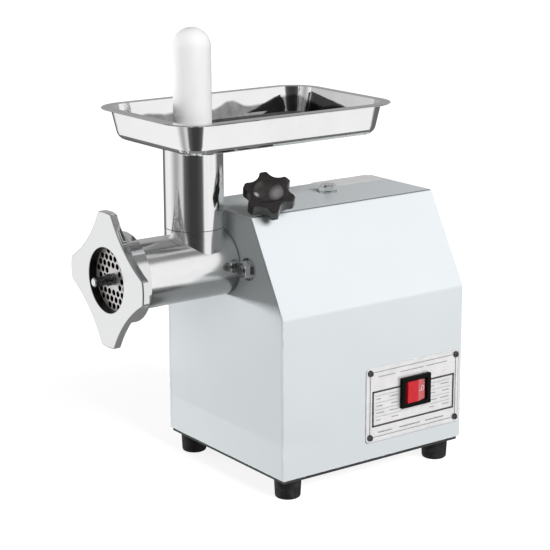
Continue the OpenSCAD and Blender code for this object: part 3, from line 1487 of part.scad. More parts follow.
cover();
front_panel();
rear_panel();
rear_screws();
base_plate();
feet();
foot_screws();
foot_nuts();
cable_gland();
gland_nut();
name_plate();
plate_screws();
switch_body();
rocker();
roof_bolt();
roof_washer();
roof_bracket();
bracket_screws();
barrel();
feed_tube();
tray();
pusher();
ring_nut();
grinding_plate();
plate_key();
knife();
auger();
auger_pin();
auger_washer();
clamp_knob();
clamp_stud();
gearbox_case();
gearbox_gasket();
gearbox_cover();
gearbox_screws();
front_studs();
front_nuts();
front_washers();
output_shaft();
output_gear();
output_bearings();
idler_shaft();
idler_gear();
idler_bearings();
output_key();
rotor_shaft();
rotor_core();
motor_bearings();
fan();
motor_shell();
stator_core();
stator_windings();
motor_end_shield();
tie_bolts();
motor_cradle();
cradle_screws();
capacitor();
capacitor_clip();
terminal_block();
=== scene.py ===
import math

import bmesh
import bpy
from bpy.props import FloatProperty, FloatVectorProperty, IntProperty, PointerProperty
from mathutils import Matrix, Vector


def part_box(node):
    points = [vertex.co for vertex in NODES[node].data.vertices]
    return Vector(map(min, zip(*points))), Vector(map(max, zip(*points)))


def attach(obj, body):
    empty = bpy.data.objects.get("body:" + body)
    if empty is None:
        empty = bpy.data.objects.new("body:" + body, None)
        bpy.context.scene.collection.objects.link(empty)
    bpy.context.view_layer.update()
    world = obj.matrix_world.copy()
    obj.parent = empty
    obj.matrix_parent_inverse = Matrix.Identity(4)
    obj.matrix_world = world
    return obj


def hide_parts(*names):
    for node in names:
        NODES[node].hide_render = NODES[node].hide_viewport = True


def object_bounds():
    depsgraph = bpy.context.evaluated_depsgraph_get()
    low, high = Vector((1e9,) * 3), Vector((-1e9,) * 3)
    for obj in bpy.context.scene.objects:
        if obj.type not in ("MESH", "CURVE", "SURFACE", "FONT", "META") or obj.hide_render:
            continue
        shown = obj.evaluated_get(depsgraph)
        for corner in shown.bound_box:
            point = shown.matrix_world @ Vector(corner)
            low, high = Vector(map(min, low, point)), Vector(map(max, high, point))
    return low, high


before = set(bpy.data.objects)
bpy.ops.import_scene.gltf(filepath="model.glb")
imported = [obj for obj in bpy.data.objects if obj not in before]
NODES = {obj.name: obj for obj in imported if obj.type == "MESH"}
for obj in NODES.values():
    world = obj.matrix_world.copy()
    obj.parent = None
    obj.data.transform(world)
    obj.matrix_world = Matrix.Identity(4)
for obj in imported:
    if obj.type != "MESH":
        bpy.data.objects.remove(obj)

bl_info = {
    "name": "Electric meat grinder",
    "version": (1, 0, 0),
    "blender": (4, 5, 0),
    "location": "View3D > Sidebar > Grinder",
    "description": "Finishes the grinder's solids, adds its printed, welded and threaded details, and lights it",
    "category": "Add Mesh",
}

CAD_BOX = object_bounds()
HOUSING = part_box("cover")
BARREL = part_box("barrel")
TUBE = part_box("feed_tube")
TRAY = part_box("tray")
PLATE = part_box("name_plate")
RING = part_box("ring_nut")
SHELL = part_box("motor_shell")
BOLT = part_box("roof_bolt")
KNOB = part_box("clamp_knob")
AXIS_Z = (RING[0].z + RING[1].z) / 2
MOTOR_Z = (SHELL[0].z + SHELL[1].z) / 2
MOUTH_R = 0.0262
PIN_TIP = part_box("auger_pin")[0].y
TRAY_DEPTH = 0.027
TUBE_Y = (TUBE[0].y + TUBE[1].y) / 2
TUBE_R = (TUBE[1].x - TUBE[0].x) / 2
KNOB_AXIS = Vector((0.545682, -0.34202, 0.765018))
DISH_RISE = 0.003
DISH = (KNOB[0] + KNOB[1]) / 2 + DISH_RISE * KNOB_AXIS
DISH_R = 0.0127
DISH_OVAL, DISH_OVAL_R = DISH + Vector((0.0037, 0.0064, 0.0003)), 0.0084
DISH_SPOT, DISH_SPOT_R = DISH + Vector((-0.0032, -0.0097, 0.0003)), 0.0030

# Light effects held in the colours, where the shader and the lights don't give them, and the share that darkens a thin
# line along the roof's fold. The shares multiply a finish's own colour; the tones replace it.
FOLD_LINE_SHARE = 0.14
TRAY_FLAT_SHADE = 0.72
TRAY_BAND_SHADE = (0.20, 0.40)
UNDERSIDE_SHADE = 0.36
HOLE_SHADE = 0.03
PIN_GLEAM = 3.0
SPOT_GLEAM = 1.6
PUSHER_FRONT, PUSHER_REAR = (1.06, 1.11), (0.87, 0.91)
JOINT_TONE = (0.012, 0.013, 0.013)
MOUTH_TONE = (0.045, 0.042, 0.04)

CAMERA_AZIMUTH, CAMERA_ELEVATION, CAMERA_ROLL = 54.0, 14.3, -0.2
CAMERA_PLACE = (1.1533, -0.82435, 0.5320)
CARD_LEVEL = 0.22


# ------------------------------------------------------------------ settings

def colour(name, value, about):
    return FloatVectorProperty(name=name, description=about, subtype="COLOR", size=3, min=0.0, max=1.0,
                               default=value)


def share(name, value, about):
    return FloatProperty(name=name, description=about, subtype="FACTOR", min=0.0, max=1.0, default=value)


def length(name, value, about):
    return FloatProperty(name=name, description=about, subtype="DISTANCE", unit="LENGTH", min=0.0, default=value)


def power(name, value, about):
    return FloatProperty(name=name, description=about, unit="POWER", min=0.0, default=value)


class GrinderColours(bpy.types.PropertyGroup):
    paint: colour("Housing paint", (0.72, 0.762, 0.78), "Colour of the painted sheet metal")
    base_paint: colour("Base paint", (0.022, 0.022, 0.024), "Colour of the base plate and the motor shell")
    rubber: colour("Rubber", (0.018, 0.017, 0.017), "Colour of the feet")
    steel: colour("Polished steel", (0.96, 0.96, 0.96), "Colour of the feed tube and the chromed nuts")
    tray: colour("Tray steel", (0.97, 0.97, 0.97), "Colour of the pressed tray")
    casting: colour("Head casting", (0.97, 0.97, 0.97), "Colour of the polished head")
    ring: colour("Ring nut", (0.86, 0.865, 0.87), "Colour of the satin ring nut")
    cutter: colour("Cutter steel", (0.78, 0.76, 0.75), "Colour of the grinding plate and the knife")
    zinc: colour("Zinc plating", (0.66, 0.67, 0.69), "Colour of the screws, nuts and washers")
    dark_steel: colour("Blackened steel", (0.13, 0.13, 0.14), "Colour of the name plate's screws and the keys")
    # The knob's black is raised a little, partly as a painted sheen
    knob: colour("Knob", (0.027, 0.024, 0.024), "Colour of the moulded clamp knob")
    knob_gleam: colour("Knob highlight", (0.25, 0.24, 0.24), "Colour of the highlight held in the knob's dish")
    rocker: colour("Rocker", (0.60, 0.013, 0.022), "Colour of the switch's rocker")
    pusher: colour("Pusher", (0.87, 0.865, 0.87), "Colour of the pusher's plastic")
    plate: colour("Name plate", (0.90, 0.885, 0.895), "Colour of the name plate's metal")
    ink: colour("Ink", (0.035, 0.034, 0.036), "Colour of the lines printed on the name plate")


class GrinderSizes(bpy.types.PropertyGroup):
    peel: length("Orange peel", 0.0011, "Width of the ripples in the housing's paint")
    weld: length("Weld bead", 0.00055, "Thickness of the bead round the foot of the feed tube")
    ink: length("Ink line", 0.0014, "Width of the thick line printed on the name plate")
    ring_edge: length("Ring nut edge", 0.0011, "Rounding of the outer edge of the ring nut's face")
    knob_edge: length("Knob edge", 0.0011, "Rounding of the clamp knob's edges")
    label: length("Roof label", 0.064, "Length of the blank label on the roof")
    rules: IntProperty(name="Ruled rows", description="Rows ruled on each side of the name plate", min=1, max=8,
                       default=4)


class GrinderStudio(bpy.types.PropertyGroup):
    key: power("Key light", 53.0, "Power of the lamp on the right")
    fill: power("Front light", 61.0, "Power of the lamp on the left")
    soft: power("Camera light", 8.0, "Power of the weak lamp beside the camera")
    ambient: share("Ambient", 0.20, "Plain light from all round, on the object only")
    floor: share("Floor", 0.42, "Brightness of the floor's own colour")
    card: share("Dark card", 0.055, "Brightness of the darkest band that the metal reflects")
    lens: FloatProperty(name="Lens", description="Focal length", subtype="DISTANCE_CAMERA", min=1.0, default=113.4)


# ------------------------------------------------------------------ materials

def times(rgb, share):
    return tuple(c * share for c in rgb)


class Finish:
    """A material being built: one Principled shader and the nodes that feed it."""

    def __init__(self, name):
        self.material = bpy.data.materials.new(name)
        self.material.use_nodes = True
        self.tree = self.material.node_tree
        self.tree.nodes.clear()
        self.shader = self.node("BsdfPrincipled")
        self.join(self.shader.outputs[0], self.node("OutputMaterial").inputs["Surface"])
        self.spot = self.node("TexCoord")
        self.height = None

    def node(self, kind, **settings):
        made = self.tree.nodes.new("ShaderNode" + kind)
        for key, value in settings.items():
            setattr(made, key, value)
        return made

    def join(self, source, target):
        self.tree.links.new(source, target)

    def put(self, target, value):
        if isinstance(value, bpy.types.NodeSocket):
            self.join(value, target)
        elif hasattr(value, "__len__") and len(value) == 3 and len(target.default_value) == 4:
            target.default_value = (*value, 1.0)
        else:
            target.default_value = value

    def set(self, **values):
        names = {"base": "Base Color", "metallic": "Metallic", "roughness": "Roughness", "coat": "Coat Weight",
                 "coat_roughness": "Coat Roughness", "scatter": "Subsurface Weight",
                 "scatter_scale": "Subsurface Scale", "scatter_radius": "Subsurface Radius",
                 "specular": "Specular IOR Level"}
        for key, value in values.items():
            self.put(self.shader.inputs[names[key]], value)
        return self

    def mapped(self, stretch=(1, 1, 1), centre=(0, 0, 0), turn=(0, 0, 0)):
        """Object coordinates about centre, with the pattern drawn out along each axis."""
        mapping = self.node("Mapping", vector_type="TEXTURE")
        mapping.inputs["Location"].default_value = centre
        mapping.inputs["Rotation"].default_value = turn
        mapping.inputs["Scale"].default_value = stretch
        self.join(self.spot.outputs["Object"], mapping.inputs["Vector"])
        return mapping.outputs["Vector"]

    def noise(self, size, detail=3.0, rough=0.55, twist=0.0, **place):
        """A soft random pattern whose patches are about size metres wide."""
        made = self.node("TexNoise")
        self.join(self.mapped(**place), made.inputs["Vector"])
        made.inputs["Scale"].default_value = 1.0 / size
        made.inputs["Detail"].default_value = detail
        made.inputs["Roughness"].default_value = rough
        made.inputs["Distortion"].default_value = twist
        return made.outputs["Fac"]

    def waves(self, size, axis="X", rings=False, twist=0.0, **place):
        """Even stripes along an axis, or rings round it, size metres apart."""
        made = self.node("TexWave", wave_type="RINGS" if rings else "BANDS")
        setattr(made, "rings_direction" if rings else "bands_direction", axis)
        self.join(self.mapped(**place), made.inputs["Vector"])
        made.inputs["Scale"].default_value = 0.314159 / size
        made.inputs["Distortion"].default_value = twist
        made.inputs["Detail"].default_value = 1.0
        return made.outputs["Fac"]

    def spread(self, value, low, high, start=0.3, end=0.7):
        """Carries start...end of a pattern to low...high."""
        made = self.node("MapRange")
        for key, item in (("Value", value), ("From Min", start), ("From Max", end), ("To Min", low), ("To Max", high)):
            self.put(made.inputs[key], item)
        return made.outputs["Result"]

    def sum(self, a, b, how="ADD"):
        made = self.node("Math", operation=how)
        self.put(made.inputs[0], a)
        self.put(made.inputs[1], b)
        return made.outputs[0]

    def mix(self, factor, a, b):
        made = self.node("Mix", data_type="RGBA")
        self.put(made.inputs[0], factor)
        self.put(made.inputs[6], a)
        self.put(made.inputs[7], b)
        return made.outputs[2]

    def shade(self, factor, rgb, dark, light):
        """A colour that runs from dark to light times rgb as factor goes from 0 to 1."""
        return self.mix(factor, tuple(c * dark for c in rgb), tuple(min(1.0, c * light) for c in rgb))

    def bump(self, height, depth):
        """Adds relief of depth metres to what the finish already has."""
        made = self.node("Bump")
        made.inputs["Distance"].default_value = depth
        self.join(height, made.inputs["Height"])
        if self.height is not None:
            self.join(self.height, made.inputs["Normal"])
        self.height = made.outputs["Normal"]
        self.join(self.height, self.shader.inputs["Normal"])
        return self

    def facing(self, axis, side=0):
        """How squarely a surface faces along one of the object's own axes, either way or to one side of it."""
        split = self.node("SeparateXYZ")
        self.join(self.spot.outputs["Normal"], split.inputs[0])
        along = split.outputs["XYZ".index(axis)]
        return self.sum(along, side, "MULTIPLY") if side else self.sum(along, 0.0, "ABSOLUTE")

    def from_axis(self, height):
        """Distance from the head's axis, which runs along Y at a height."""
        split = self.node("SeparateXYZ")
        self.join(self.mapped(centre=(0, 0, height)), split.inputs[0])
        x, z = (self.sum(split.outputs[i], 2.0, "POWER") for i in (0, 2))
        return self.sum(self.sum(x, z), 0.5, "POWER")

    def inside(self, centre):
        """1 where an upright surface faces in towards a centre, 0 where it faces out."""
        made = self.node("VectorMath", operation="DOT_PRODUCT")
        self.join(self.mapped(centre=centre), made.inputs[0])
        self.join(self.spot.outputs["Normal"], made.inputs[1])
        return self.sum(made.outputs["Value"], 0.0, "LESS_THAN")

    def near(self, centre, radius, soft):
        """1 close to a point, falling to 0 over the last soft metres of a radius."""
        made = self.node("VectorMath", operation="LENGTH")
        self.join(self.mapped(centre=centre), made.inputs[0])
        return self.spread(made.outputs["Value"], 1.0, 0.0, radius - soft, radius)

    def place_along(self, axis):
        split = self.node("SeparateXYZ")
        self.join(self.spot.outputs["Object"], split.inputs[0])
        return split.outputs["XYZ".index(axis)]


def painted_sheet(name, rgb, peel):
    f = Finish(name)
    cloud = f.noise(0.09, detail=2.0)
    # A thin dark line runs where the roof is folded down
    up = f.facing("Z")
    fold = f.sum(f.spread(up, 0.0, 1.0, 0.80, 0.88), f.spread(up, 1.0, 0.0, 0.95, 0.985), "MULTIPLY")
    f.set(base=f.mix(f.sum(fold, 0.95, "MULTIPLY"), f.shade(f.spread(cloud, 0.0, 1.0), rgb, 0.985, 1.015),
                     times(rgb, FOLD_LINE_SHARE)),
          roughness=f.spread(f.noise(0.02), 0.30, 0.37), specular=0.34)
    f.bump(f.noise(peel, detail=1.5), 0.000016)
    f.bump(f.noise(0.06, detail=1.0), 0.00006)
    return f.material


def satin_black(name, rgb):
    f = Finish(name)
    f.set(base=f.shade(f.spread(f.noise(0.012), 0.0, 1.0), rgb, 0.8, 1.35),
          roughness=f.spread(f.noise(0.004), 0.34, 0.5))
    f.bump(f.noise(0.0009, detail=2.0), 0.00002)
    return f.material


def moulded_rubber(name, rgb):
    f = Finish(name)
    dust = f.spread(f.noise(0.006, detail=6.0, rough=0.7), 0.0, 1.0, 0.45, 0.75)
    f.set(base=f.mix(dust, rgb, tuple(c * 2.6 + 0.006 for c in rgb)),
          roughness=f.spread(f.noise(0.002), 0.55, 0.75), specular=0.35)
    f.bump(f.noise(0.0006, detail=3.0), 0.00003)
    return f.material


def mirror_steel(name, rgb, low=0.05, high=0.12):
    f = Finish(name)
    haze = f.noise(0.03, detail=4.0, stretch=(3, 1, 1))
    f.set(base=f.shade(f.spread(haze, 0.0, 1.0), rgb, 0.97, 1.03), metallic=1.0,
          roughness=f.spread(haze, low, high))
    f.bump(f.noise(0.018, detail=1.0), 0.00005)
    f.bump(f.noise(0.0016, detail=2.0, stretch=(12, 1, 1)), 0.0000006)
    return f.material


def pressed_tray(name, rgb):
    """Mirror steel with painted reflections: darker on the rim and floor, and a dark band low inside the walls."""
    f = Finish(name)
    haze = f.noise(0.03, detail=4.0, stretch=(3, 1, 1))
    flat = f.spread(f.facing("Z"), 0.0, 1.0, 0.90, 0.985)
    low, high = TRAY
    across = f.spread(f.place_along("X"), 0.0, -0.30, low.x, high.x)
    along = f.spread(f.place_along("Y"), 0.46, 0.74, low.y, high.y)
    wander = f.spread(f.noise(0.032, detail=1.0), -0.12, 0.12)
    reach = f.sum(f.sum(across, along), wander)
    depth = f.spread(f.place_along("Z"), 0.0, 1.0, high.z - TRAY_DEPTH, high.z)
    # Painted reflection: a dark band low inside the walls
    band = f.sum(f.spread(f.sum(reach, depth, "SUBTRACT"), 0.0, 1.0, -0.03, 0.05),
                 f.inside(((low.x + high.x) / 2, (low.y + high.y) / 2, high.z)), "MULTIPLY")
    band = f.sum(band, f.sum(1.0, flat, "SUBTRACT"), "MULTIPLY")
    patches = f.noise(0.014, detail=2.0)
    walls = f.mix(band, f.shade(f.spread(haze, 0.0, 1.0), rgb, 0.97, 1.03),
                  f.shade(f.spread(patches, 0.0, 1.0), rgb, *TRAY_BAND_SHADE))
    # Painted reflection: the rim and the floor are darker
    f.set(base=f.mix(flat, walls, f.shade(f.spread(haze, 0.0, 1.0), times(rgb, TRAY_FLAT_SHADE), 0.97, 1.03)),
          metallic=1.0, roughness=f.sum(f.spread(haze, 0.035, 0.07), f.sum(flat, 0.09, "MULTIPLY")))
    f.bump(f.noise(0.03, detail=1.5, stretch=(1, 1, 0.5)), 0.00016)
    f.bump(f.noise(0.0016, detail=2.0, stretch=(12, 1, 1)), 0.0000006)
    return f.material


def drawn_tube(name, rgb):
    f = Finish(name)
    streak = f.noise(0.0022, detail=3.0, stretch=(1, 1, 40), centre=(0, TUBE_Y, 0))
    f.set(base=f.shade(f.spread(streak, 0.0, 1.0), rgb, 0.95, 1.03), metallic=1.0,
          roughness=f.spread(streak, 0.07, 0.13))
    f.bump(f.noise(0.012, detail=1.0, stretch=(1, 1, 5)), 0.00004)
    return f.material


def polished_casting(name, rgb):
    f = Finish(name)
    cloud = f.noise(0.016, detail=4.0, twist=0.6, stretch=(1, 2.6, 1))
    # A near-black line round the joint at the rear is painted shade, and the dark underside is a painted reflection
    joint = f.spread(f.place_along("Y"), 0.0, 1.0, BARREL[1].y - 0.0013, BARREL[1].y - 0.0009)
    under = f.spread(f.facing("Z", -1), 0.0, 1.0, 0.16, 0.30)
    metal = f.mix(under, f.shade(f.spread(cloud, 0.0, 1.0), rgb, 0.93, 1.04),
                  f.shade(f.spread(cloud, 0.0, 1.0), times(rgb, UNDERSIDE_SHADE), 0.9, 1.06))
    f.set(base=f.mix(joint, metal, JOINT_TONE),
          metallic=f.sum(1.0, joint, "SUBTRACT"), roughness=f.spread(cloud, 0.13, 0.22))
    f.bump(f.noise(0.022, detail=2.0, stretch=(1, 2.2, 1)), 0.00022)
    f.bump(f.noise(0.0012, detail=2.0, stretch=(1, 14, 1)), 0.000002)
    return f.material


def satin_ring(name, rgb):
    """Satin metal with a brighter face, and a near-black wall inside its mouth, a painted shade."""
    f = Finish(name)
    face = f.spread(f.facing("Y"), 0.0, 1.0, 0.90, 0.985)
    # Painted shade: the wall inside the mouth is near black
    mouth = f.spread(f.from_axis(AXIS_Z), 1.0, 0.0, MOUTH_R + 0.0002, MOUTH_R + 0.0006)
    mouth = f.sum(mouth, f.sum(1.0, face, "SUBTRACT"), "MULTIPLY")
    grain = f.noise(0.0008, detail=3.0, stretch=(30, 1, 1), turn=(0, math.radians(35), 0))
    rough = f.mix(face, (0.12, 0.12, 0.12), (0.25, 0.25, 0.25))
    tone = f.mix(face, f.shade(f.spread(grain, 0.0, 1.0), rgb, 0.97, 1.04),
                 f.shade(f.spread(grain, 0.0, 1.0), times(rgb, 1.10), 0.97, 1.0))
    f.set(base=f.mix(mouth, tone, MOUTH_TONE), metallic=1.0,
          roughness=f.sum(f.sum(rough, f.spread(grain, -0.03, 0.03)), f.sum(mouth, 0.25, "MULTIPLY")))
    f.bump(f.noise(0.014, detail=2.0), 0.00005)
    return f.material


def turned_steel(name, rgb, low=0.22, high=0.34, metal=1.0, sides=1.0):
    """Ground steel with fine rings round the head's axis; sides is the share of the colour in holes and on sides, a
    painted shade where it is below 1.
    """
    f = Finish(name)
    rings = f.waves(0.00045, axis="Y", rings=True, twist=0.4, centre=(0, 0, AXIS_Z))
    ground = f.shade(f.spread(f.noise(0.008), 0.0, 1.0), rgb, 0.9, 1.06)
    face = f.spread(f.facing("Y"), 0.0, 1.0, 0.45, 0.75)
    f.set(base=f.mix(face, times(rgb, sides), ground), metallic=metal,
          roughness=f.spread(rings, low, high, 0.0, 1.0))
    f.bump(rings, 0.000004)
    return f.material


def turned_pin(name, rgb, tip_rgb):
    """Blackened steel with pale patches, which are painted highlights, and a bright end."""
    f = Finish(name)
    tip = f.sum(f.spread(f.facing("Y"), 0.0, 1.0, 0.5, 0.8),
                f.spread(f.place_along("Y"), 1.0, 0.0, PIN_TIP + 0.001, PIN_TIP + 0.002), "MULTIPLY")
    film = f.noise(0.002, detail=4.0)
    # The pale patches, up to PIN_GLEAM times the colour, are painted highlights
    f.set(base=f.mix(tip, f.shade(f.spread(film, 0.0, 1.0), rgb, 0.8, PIN_GLEAM), tip_rgb), metallic=1.0,
          roughness=f.spread(film, 0.2, 0.34))
    f.bump(f.noise(0.0006, stretch=(1, 0.1, 1)), 0.000008)
    return f.material


def cast_metal(name, rgb, low=0.38, high=0.52, grain=0.0011):
    f = Finish(name)
    f.set(base=f.shade(f.spread(f.noise(0.01, detail=5.0), 0.0, 1.0), rgb, 0.86, 1.08), metallic=1.0,
          roughness=f.spread(f.noise(0.004), low, high))
    f.bump(f.noise(grain, detail=4.0, rough=0.65), 0.00006)
    return f.material


def plated_steel(name, rgb):
    f = Finish(name)
    f.set(base=f.shade(f.spread(f.noise(0.003, detail=4.0), 0.0, 1.0), rgb, 0.82, 1.1), metallic=1.0,
          roughness=f.spread(f.noise(0.0018), 0.16, 0.32))
    f.bump(f.noise(0.0007, detail=2.0), 0.000008)
    return f.material


def oiled_steel(name, rgb):
    f = Finish(name)
    film = f.noise(0.009, detail=5.0, twist=0.5)
    f.set(base=f.mix(f.spread(film, 0.0, 1.0), rgb, (rgb[0] * 0.62, rgb[1] * 0.55, rgb[2] * 0.42)), metallic=1.0,
          roughness=f.spread(film, 0.2, 0.34), coat=0.35, coat_roughness=0.12)
    f.bump(f.noise(0.0009, stretch=(1, 8, 1)), 0.000006)
    return f.material


def lamination_stack(name, rgb):
    f = Finish(name)
    sheets = f.waves(0.0005, axis="Y", twist=0.1)
    f.set(base=f.mix(sheets, times(rgb, 0.45), rgb), metallic=0.85,
          roughness=f.spread(f.noise(0.004), 0.35, 0.55))
    f.bump(sheets, 0.00004)
    return f.material


def wound_copper(name, rgb):
    f = Finish(name)
    strands = f.waves(0.0011, axis="Y", rings=True, twist=1.4, centre=(0, 0, MOTOR_Z))
    f.set(base=f.mix(strands, times(rgb, 0.4), rgb), metallic=0.8,
          roughness=f.spread(f.noise(0.003), 0.25, 0.42), coat=0.5, coat_roughness=0.2)
    f.bump(strands, 0.0003)
    return f.material


def moulded_plastic(name, rgb, low, high, grain=0.0007, relief=0.000012, contrast=0.12, specular=0.5):
    f = Finish(name)
    flow = f.noise(0.014, detail=3.0, twist=1.0)
    f.set(base=f.shade(f.spread(flow, 0.0, 1.0), rgb, 1 - contrast, 1 + contrast),
          roughness=f.spread(f.noise(0.005), low, high), specular=specular)
    f.bump(f.noise(grain, detail=2.0), relief)
    return f.material


def dished_plastic(name, rgb, gleam_rgb, low, high):
    """Black plastic with two highlights held in the colour of the knob's dish: an oval and a smaller, brighter spot."""
    f = Finish(name)
    flow = f.noise(0.014, detail=3.0, twist=1.0)
    oval = f.sum(f.near(DISH, DISH_R, 0.0012), f.near(DISH_OVAL, DISH_OVAL_R, 0.0056), "MULTIPLY")
    spot = f.near(DISH_SPOT, DISH_SPOT_R, 0.0022)
    base = f.mix(oval, f.shade(f.spread(flow, 0.0, 1.0), rgb, 0.7, 1.3), gleam_rgb)
    f.set(base=f.mix(spot, base, times(gleam_rgb, SPOT_GLEAM)),
          roughness=f.spread(f.noise(0.005), low, high), specular=0.5)
    f.bump(f.noise(0.0007, detail=2.0), 0.000012)
    return f.material


def milky_plastic(name, rgb):
    """Milky plastic with shade held in its colour, from a pale side to a darker one towards the rear."""
    f = Finish(name)
    flow = f.noise(0.02, detail=2.0, stretch=(1, 1, 4))
    rear = f.sum(f.facing("X", 0.59), f.facing("Y", 0.81))
    tone = f.mix(f.spread(rear, 0.0, 1.0, -0.9, 0.9), f.shade(f.spread(flow, 0.0, 1.0), rgb, *PUSHER_FRONT),
                 f.shade(f.spread(flow, 0.0, 1.0), rgb, *PUSHER_REAR))
    f.set(base=tone, scatter=1.0, scatter_radius=(1.0, 0.99, 0.98),
          scatter_scale=0.03, roughness=f.spread(flow, 0.34, 0.46), specular=0.2)
    f.bump(f.noise(0.003, detail=2.0), 0.00002)
    return f.material


def weld_bead(name, rgb):
    f = Finish(name)
    ripple = f.noise(0.0012, detail=3.0)
    f.set(base=f.shade(f.spread(ripple, 0.0, 1.0), rgb, 0.6, 1.8), metallic=0.9,
          roughness=f.spread(ripple, 0.3, 0.5))
    f.bump(ripple, 0.0001)
    return f.material


def etched_plate(name, rgb):
    f = Finish(name)
    grain = f.noise(0.0006, detail=3.0, stretch=(1, 26, 1))
    rough = f.spread(grain, 0.26, 0.42)
    f.set(base=f.shade(f.spread(f.noise(0.014, detail=3.0), 0.0, 1.0), rgb, 0.93, 1.05), metallic=0.55,
          roughness=rough)
    f.bump(grain, 0.000004)
    f.bump(f.noise(0.02, detail=1.0), 0.00008)
    return f.material


def printed_ink(name, rgb):
    f = Finish(name)
    f.set(base=f.shade(f.spread(f.noise(0.0012, detail=4.0), 0.0, 1.0), rgb, 0.75, 1.7),
          roughness=f.spread(f.noise(0.002), 0.35, 0.5))
    f.bump(f.noise(0.0004), 0.000004)
    return f.material


def fibre_sheet(name, rgb):
    f = Finish(name)
    fibres = f.noise(0.0008, detail=5.0, stretch=(6, 1, 1), turn=(0, 0.6, 0))
    f.set(base=f.shade(f.spread(fibres, 0.0, 1.0), rgb, 0.7, 1.25), roughness=f.spread(fibres, 0.7, 0.9))
    f.bump(fibres, 0.00004)
    return f.material


def wear(material, *names):
    """Gives CAD nodes a finish."""
    for name in names:
        for slot in NODES[name].material_slots:
            slot.material = material


# ------------------------------------------------------------------ new pieces

def shape():
    return bmesh.new()


def add_block(bm, low, high, edge=0.0, steps=2):
    """A box between two corners, with its edges rounded."""
    low, high = Vector(low), Vector(high)
    size = high - low
    place = Matrix.Translation((low + high) / 2) @ Matrix.Diagonal((*size, 1))
    made = bmesh.ops.create_cube(bm, size=1.0, matrix=place)
    if edge:
        edges = {e for v in made["verts"] for e in v.link_edges}
        bmesh.ops.bevel(bm, geom=list(edges), offset=edge, affect="EDGES", segments=steps, profile=0.5, material=-1)


def add_turned(bm, profile, centre, axis, start, steps=64, closed=True):
    """Spins a profile, given as (radius, height) pairs, round an axis."""
    axis, start = Vector(axis).normalized(), Vector(start).normalized()
    points = [bm.verts.new(Vector(centre) + start * r + axis * h) for r, h in profile]
    pairs = list(zip(points, points[1:])) + ([(points[-1], points[0])] if closed else [])
    edges = [bm.edges.new(pair) for pair in pairs]
    bmesh.ops.spin(bm, geom=points + edges, cent=centre, axis=axis, dvec=(0, 0, 0), angle=2 * math.pi, steps=steps,
                   use_merge=True)


def add_piece(name, bm, body, material, smooth=True):
    """Closes a new piece, gives it its finish, and lets it ride on a body."""
    bmesh.ops.remove_doubles(bm, verts=bm.verts, dist=1e-6)
    bmesh.ops.recalc_face_normals(bm, faces=bm.faces)
    for face in bm.faces:
        face.smooth = smooth
    mesh = bpy.data.meshes.new(name)
    bm.to_mesh(mesh)
    bm.free()
    mesh.materials.append(material)
    piece = bpy.data.objects.new(name, mesh)
    bpy.context.scene.collection.objects.link(piece)
    if smooth:
        mesh.set_sharp_from_angle(angle=math.radians(35))
    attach(piece, body)
    return piece


def add_rounded(node, width, steps, body, material, pick):
    """A copy of a CAD node that stands for it, with some of its edges rounded."""
    bm = shape()
    bm.from_mesh(NODES[node].data)
    bmesh.ops.remove_doubles(bm, verts=bm.verts, dist=1e-5)
    bmesh.ops.dissolve_limit(bm, angle_limit=math.radians(0.5), verts=bm.verts, edges=bm.edges)
    edges = [e for e in bm.edges if len(e.link_faces) == 2 and e.calc_face_angle() > math.radians(40) and pick(e)]
    if not edges:
        raise RuntimeError(f"{node} has no edges to round")
    bmesh.ops.bevel(bm, geom=edges, offset=width, affect="EDGES", segments=steps, profile=0.5, material=-1)
    piece = add_piece(node + "_shape", bm, body, material)
    weigh = piece.modifiers.new("even_faces", "WEIGHTED_NORMAL")
    weigh.keep_sharp = True
    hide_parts(node)
    return piece


class GrinderOperator:
    bl_options = {"REGISTER", "UNDO"}

    def execute(self, context):
        scene = context.scene
        self.make(scene.grinder_colours, scene.grinder_sizes)
        return {"FINISHED"}


class GRINDER_OT_housing(GrinderOperator, bpy.types.Operator):
    """Paint the folded cover, its two panels and the base plate"""
    bl_idname = "grinder.housing"
    bl_label = "Housing"

    def make(self, colours, sizes):
        wear(painted_sheet("housing_paint_finish", colours.paint, sizes.peel), "cover", "front_panel", "rear_panel")
        wear(satin_black("base_paint_finish", colours.base_paint), "base_plate", "motor_shell", "motor_cradle")


class GRINDER_OT_feet(GrinderOperator, bpy.types.Operator):
    """Finish the rubber feet"""
    bl_idname = "grinder.feet"
    bl_label = "Feet"

    def make(self, colours, sizes):
        wear(moulded_rubber("foot_rubber_finish", colours.rubber), "feet")


class GRINDER_OT_fasteners(GrinderOperator, bpy.types.Operator):
    """Finish the screws, nuts, washers and brackets"""
    bl_idname = "grinder.fasteners"
    bl_label = "Screws, nuts and washers"

    def make(self, colours, sizes):
        wear(plated_steel("zinc_finish", colours.zinc), "rear_screws", "foot_screws", "foot_nuts", "roof_washer",
             "roof_bracket", "bracket_screws", "clamp_stud", "gearbox_screws", "front_studs", "front_washers",
             "tie_bolts", "cradle_screws", "capacitor_clip")
        wear(plated_steel("blackened_finish", colours.dark_steel), "plate_screws", "plate_key", "output_key")
        wear(mirror_steel("bolt_finish", colours.steel, 0.10, 0.2), "front_nuts", "roof_bolt")


